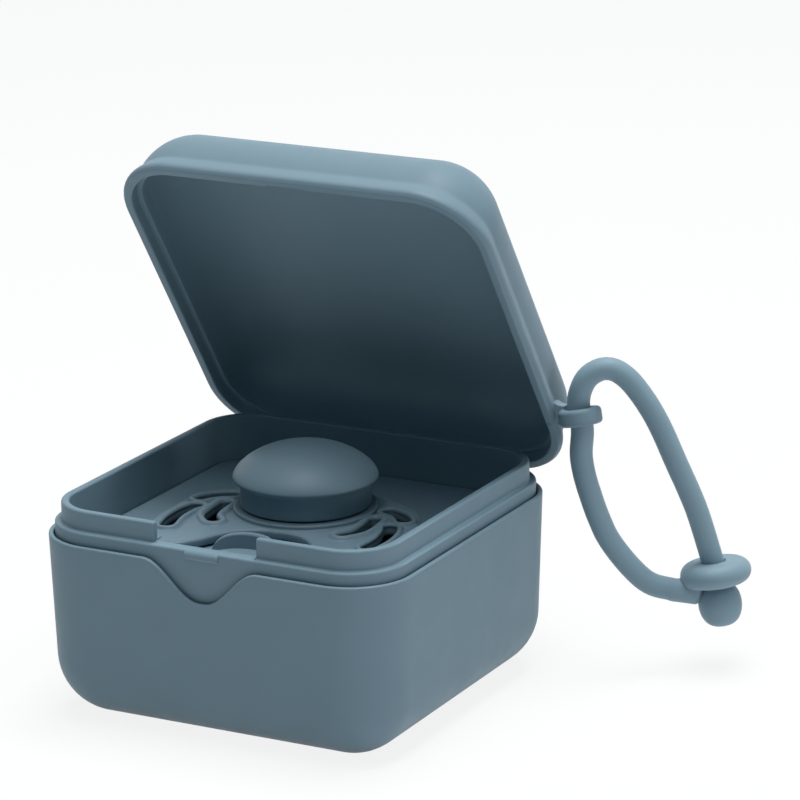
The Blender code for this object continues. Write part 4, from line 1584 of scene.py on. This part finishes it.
@dataclass
class Strap:
    """The silicone strap: a cord through the lid's eyelet, closed by a ball in its collar."""

    lid: Lid
    diameter: float = 4.1 * MM
    collar_radius: float = 6.4 * MM
    collar_height: float = 4.2 * MM
    boss_drop: float = 4.3 * MM
    boss_reach: float = 7.6 * MM
    ball_radius: float = 3.9 * MM
    ball_length: float = 7.6 * MM
    bore_radius: float = 2.07 * MM
    runs: int = 120
    collar_centre: Triple = (0.0617, 0.0417, 0.0176)
    collar_line: Triple = (0.16, -0.01, -0.987)
    boss_line: Triple = (-0.87, -0.464, 0.14)
    lower_strand: tuple[Triple, ...] = (
        (0.0514, 0.0361, 0.0157), (0.0482, 0.0344, 0.0190), (0.0450, 0.0327, 0.0239),
        (0.0433, 0.0318, 0.0281), (0.0420, 0.0311, 0.0324), (0.0410, 0.0306, 0.0364),
        (0.0405, 0.0304, 0.0401),
    )
    upper_strand: tuple[Triple, ...] = (
        (0.0404, 0.0306, 0.0520), (0.0416, 0.0311, 0.0543), (0.0436, 0.0321, 0.0556),
        (0.0456, 0.0331, 0.0555), (0.0475, 0.0341, 0.0541), (0.0492, 0.0350, 0.0519),
        (0.0513, 0.0360, 0.0484), (0.0531, 0.0371, 0.0443), (0.0554, 0.0382, 0.0383),
        (0.0576, 0.0394, 0.0325), (0.0592, 0.0403, 0.0275),
    )

    @property
    def axis(self) -> Vector:
        """The collar's axis, towards the ball."""
        return Vector(self.collar_line).normalized()

    @property
    def boss_axis(self) -> Vector:
        """The line in which the strand leaves the collar's side."""
        return Vector(self.boss_line).normalized()

    @property
    def boss_root(self) -> Vector:
        """The middle of the boss on the collar's axis."""
        return Vector(self.collar_centre) + self.axis * self.boss_drop

    @property
    def ball_top(self) -> Vector:
        """The ball's flat top under the collar."""
        gap = self.lid.levels.seat_gap
        return Vector(self.collar_centre) + self.axis * (self.collar_height / 2 + gap)

    def route(self) -> list[Vector]:
        """The strap's middle line, from the boss through the eyelet to the ball."""
        gap = self.lid.levels.seat_gap
        turn = self.lid.opening
        eyelet = turn @ self.lid.eyelet_spot
        line = (turn.to_3x3() @ self.lid.eyelet_axis).normalized()
        ahead = self.diameter * 0.55
        start = self.boss_root + self.boss_axis * (self.boss_reach + gap)
        stops = [start]
        stops += [Vector(point) for point in self.lower_strand]
        stops += [eyelet - line * ahead, eyelet + line * ahead]
        stops += [Vector(point) for point in self.upper_strand]
        stops += [Vector(self.collar_centre), self.ball_top - self.axis * gap]
        return evenly(smooth_line(stops, len(stops) * 24), self.runs)

    @property
    def seat(self) -> Matrix:
        """The place of a piece turned about Z on the collar's axis."""
        turn = Vector((0, 0, 1)).rotation_difference(-self.axis).to_matrix().to_4x4()
        return Matrix.Translation(Vector(self.collar_centre)) @ turn

    def collar(self) -> Workpiece:
        """The round collar with the boss that the lower strand grows from."""
        half = self.collar_height / 2
        section = [(self.bore_radius, half)]
        for step in range(17):
            turn = math.radians(180 * step / 16)
            section.append(
                (self.collar_radius - half + half * math.sin(turn), half * math.cos(turn))
            )
        section.append((self.bore_radius, -half))
        disc = Workpiece.spun("strap_disc", section, 56).place(self.seat)
        near = self.ball_radius - 0.9 * MM
        radius = self.diameter / 2
        boss = Workpiece.spun(
            "strap_boss",
            [
                (0, self.boss_reach + 1.5 * MM),
                (radius - 0.05 * MM, self.boss_reach + 1.5 * MM),
                (radius + 0.05 * MM, self.boss_reach + 0.7 * MM),
                (radius + 0.08 * MM, self.boss_reach - 1.8 * MM),
                (radius + 0.1 * MM, near + 0.9 * MM),
                (radius * 0.72, near + 0.2 * MM),
                (0, near),
            ],
            40,
        )
        turn = Vector((0, 0, 1)).rotation_difference(self.boss_axis).to_matrix().to_4x4()
        boss.place(Matrix.Translation(self.boss_root) @ turn)
        disc.join(boss)
        return disc.melt(0.15 * MM, 6)

    def ball(self) -> Workpiece:
        """The ball at the strap's end, drawn to a rounded tip."""
        shares = (
            (0.0, 0.0), (0.60, 0.0), (0.86, 0.13), (0.99, 0.34), (0.98, 0.58), (0.82, 0.80), (0.52, 0.94), (0.0, 1.0),
        )
        curve = smooth_line([(self.ball_radius * r, -self.ball_length * down, 0) for r, down in shares[1:]], 28)
        profile = [(0, 0), *[(max(p.x, 0.0), p.y) for p in curve]]
        gap = self.lid.levels.seat_gap
        place = Matrix.Translation(self.axis * (self.collar_height / 2 + gap)) @ self.seat
        return Workpiece.spun("strap_bulb", profile, 56).place(place)

    def build(self, look: bpy.types.Material) -> None:
        line = self.route()
        rest_hands()
        data = bpy.data.curves.new("strap_loop", "CURVE")
        data.dimensions = "3D"
        data.bevel_depth = self.diameter / 2
        data.bevel_resolution = 8
        data.use_fill_caps = True
        spline = data.splines.new("POLY")
        spline.points.add(len(line) - 1)
        for spot, point in zip(spline.points, line):
            spot.co = (*point, 1)
        spline.use_smooth = True
        loop = bpy.data.objects.new("strap_loop", data)
        bpy.context.scene.collection.objects.link(loop)
        data.materials.append(look)
        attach(loop, "strap")
        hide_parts("strap_cord")
        disc = self.collar().shade(60).finish("strap", "silicone", look, "strap_collar")
        bulb = self.ball().shade(60).finish("strap", "silicone", look, "strap_ball")


# ---------------------------------------------------------------- studio and camera


@dataclass
class PhotoCamera:
    """The photograph's camera, from the fit to the box's outlines."""

    focal_px: float = 4202.875
    frame_px: float = 800.0
    sensor_mm: float = 36.0
    turn_deg: float = 28.081
    rise_deg: float = 16.436
    roll_deg: float = -0.783
    place: Triple = (0.3472, -0.61239, 0.26036)

    def build(self) -> None:
        """Makes the camera and makes it the scene's own."""
        turn, rise, roll = (math.radians(a) for a in (self.turn_deg, self.rise_deg, self.roll_deg))
        right = Vector((math.cos(turn), math.sin(turn), 0))
        back = Vector((math.sin(turn) * math.cos(rise), -math.cos(turn) * math.cos(rise), math.sin(rise)))
        up = back.cross(right)
        rolled_right = right * math.cos(roll) + up * math.sin(roll)
        rolled_up = -right * math.sin(roll) + up * math.cos(roll)
        data = bpy.data.cameras.new("photo_camera")
        data.sensor_fit = "HORIZONTAL"
        data.sensor_width = self.sensor_mm
        data.lens = self.focal_px / self.frame_px * self.sensor_mm
        data.clip_start = 0.01
        data.clip_end = 20.0
        camera = bpy.data.objects.new("photo_camera", data)
        bpy.context.scene.collection.objects.link(camera)
        matrix = Matrix((rolled_right, rolled_up, back)).transposed().to_4x4()
        camera.matrix_world = Matrix.Translation(Vector(self.place)) @ matrix
        bpy.context.scene.camera = camera
        log.info("camera set")


@dataclass(frozen=True)
class Softbox:
    """A square area lamp that looks at a point."""

    name: str
    place: Triple
    size: float
    watts: float
    target: Triple = (0.0, 0.0, 0.03)

    def build(self) -> None:
        """Makes the lamp."""
        data = bpy.data.lights.new(self.name, "AREA")
        data.shape = "SQUARE"
        data.size = self.size
        data.energy = self.watts
        lamp = bpy.data.objects.new(self.name, data)
        bpy.context.scene.collection.objects.link(lamp)
        aim = Vector(self.target) - Vector(self.place)
        lamp.matrix_world = Matrix.Translation(Vector(self.place)) @ aim.to_track_quat("-Z", "Y").to_matrix().to_4x4()


@dataclass
class Studio:
    """A pale floor, a white surround and soft lamps."""

    floor_size: float = 3.0
    floor_grey: float = 0.84
    surround: float = 0.105
    surround_tint: Triple = (0.38, 0.80, 1.0)
    shadow_share: float = 0.86
    lamps: tuple[Softbox, ...] = (
        Softbox("top_softbox", (0.05, 0.17, 1.0), 0.5, 9.4),
        Softbox("front_softbox", (0.1, -0.25, 1.0), 0.5, 3.4),
        Softbox("side_softbox", (1.1, 0.1, 0.12), 0.3, 2.1),
    )

    def white_to_camera(self, recipe: "Recipe") -> bpy.types.NodeSocket:
        """A value of 1 for camera, glossy and transmission rays."""
        path = recipe.add("ShaderNodeLightPath")
        first = recipe.add("ShaderNodeMath", operation="MAXIMUM")
        recipe.link(path.outputs["Is Camera Ray"], first.inputs[0])
        recipe.link(path.outputs["Is Glossy Ray"], first.inputs[1])
        second = recipe.add("ShaderNodeMath", operation="MAXIMUM")
        recipe.link(first.outputs[0], second.inputs[0])
        recipe.link(path.outputs["Is Transmission Ray"], second.inputs[1])
        return second.outputs[0]

    def floor(self) -> None:
        """Makes the floor, which keeps a pale shadow and looks white to the camera."""
        rest_hands()
        bpy.ops.mesh.primitive_plane_add(size=self.floor_size, enter_editmode=True)
        bpy.ops.mesh.subdivide(number_cuts=4)
        bpy.ops.object.mode_set(mode="OBJECT")
        plane = bpy.context.active_object
        plane.name = "studio_floor"
        recipe = Recipe("floor_paper")
        tone = recipe.tint(
            (self.floor_grey,) * 3, (self.floor_grey * 0.97,) * 3, recipe.clouds(60 * MM, 3.0)
        )
        recipe.link(tone, recipe.shader.inputs["Base Color"])
        recipe.shader.inputs["Roughness"].default_value = 0.9
        recipe.shader.inputs["Specular IOR Level"].default_value = 0.1
        glow = recipe.add("ShaderNodeEmission")
        glow.inputs["Color"].default_value = (1, 1, 1, 1)
        glow.inputs["Strength"].default_value = 1.0
        mix = recipe.add("ShaderNodeMixShader")
        share = recipe.add("ShaderNodeMath", operation="MULTIPLY")
        recipe.link(self.white_to_camera(recipe), share.inputs[0])
        share.inputs[1].default_value = self.shadow_share
        recipe.link(share.outputs[0], mix.inputs["Fac"])
        recipe.link(recipe.shader.outputs["BSDF"], mix.inputs[1])
        recipe.link(glow.outputs["Emission"], mix.inputs[2])
        out = next(n for n in recipe.tree.nodes if n.type == "OUTPUT_MATERIAL")
        recipe.link(mix.outputs["Shader"], out.inputs["Surface"])
        plane.data.materials.append(recipe.material)
        plane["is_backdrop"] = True

    def sky(self) -> None:
        """Makes the surround: white where it is seen, a soft grey where it lights."""
        world = bpy.data.worlds.new("studio_surround")
        bpy.context.scene.world = world
        world.use_nodes = True
        tree = world.node_tree
        back = tree.nodes["Background"]
        path = tree.nodes.new("ShaderNodeLightPath")
        shown = tree.nodes.new("ShaderNodeMath")
        shown.operation = "MAXIMUM"
        tree.links.new(path.outputs["Is Camera Ray"], shown.inputs[0])
        tree.links.new(path.outputs["Is Glossy Ray"], shown.inputs[1])
        seen = tree.nodes.new("ShaderNodeMath")
        seen.operation = "MAXIMUM"
        tree.links.new(shown.outputs[0], seen.inputs[0])
        tree.links.new(path.outputs["Is Transmission Ray"], seen.inputs[1])
        level = tree.nodes.new("ShaderNodeMapRange")
        level.inputs["To Min"].default_value = self.surround
        level.inputs["To Max"].default_value = 1.0
        tree.links.new(seen.outputs[0], level.inputs["Value"])
        tree.links.new(level.outputs["Result"], back.inputs["Strength"])
        tone = tree.nodes.new("ShaderNodeMix")
        tone.data_type = "RGBA"
        tone.inputs["A"].default_value = (*self.surround_tint, 1)
        tone.inputs["B"].default_value = (1, 1, 1, 1)
        tree.links.new(seen.outputs[0], tone.inputs["Factor"])
        tree.links.new(tone.outputs["Result"], back.inputs["Color"])

    def build(self) -> None:
        """Makes the floor, the surround and the lamps."""
        self.floor()
        self.sky()
        for lamp in self.lamps:
            lamp.build()
        bpy.context.scene.view_settings.view_transform = "Standard"
        log.info("studio set")


def write_sizes(before: object, after: object) -> None:
    """Puts the CAD box and the dressed box into plain lists, which are not kept."""

    def plain(value: object) -> list:
        """Nested numbers as plain lists."""
        return [plain(v) for v in value] if hasattr(value, "__len__") else round(float(value), 6)

    {"cad": plain(before), "visual": plain(after)}


def main() -> None:
    """Builds the studio and every piece of the box, in order."""
    logging.basicConfig(level=logging.INFO, format="%(name)s %(message)s")
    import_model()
    cad_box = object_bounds()
    rest_hands()
    PhotoCamera().build()
    palette = Palette()
    casing, strap = palette.casing(), palette.strap()
    outline, levels = Outline(), Heights()
    liner, lid = Liner(outline, levels), Lid(outline, levels)
    tray = Tray(outline, levels, liner)
    Strap(lid).build(strap)
    OuterShell(outline, levels).build(casing)
    liner.build(casing)
    tray.build(casing)
    HingePin(outline, levels).build(palette.pin())
    lid.build(casing)
    Pacifier(tray).build(palette.guard(), palette.teat())
    Studio().build()
    rest_hands()
    bpy.context.view_layer.update()
    write_sizes(cad_box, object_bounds())


if __name__ == "__main__":
    main()
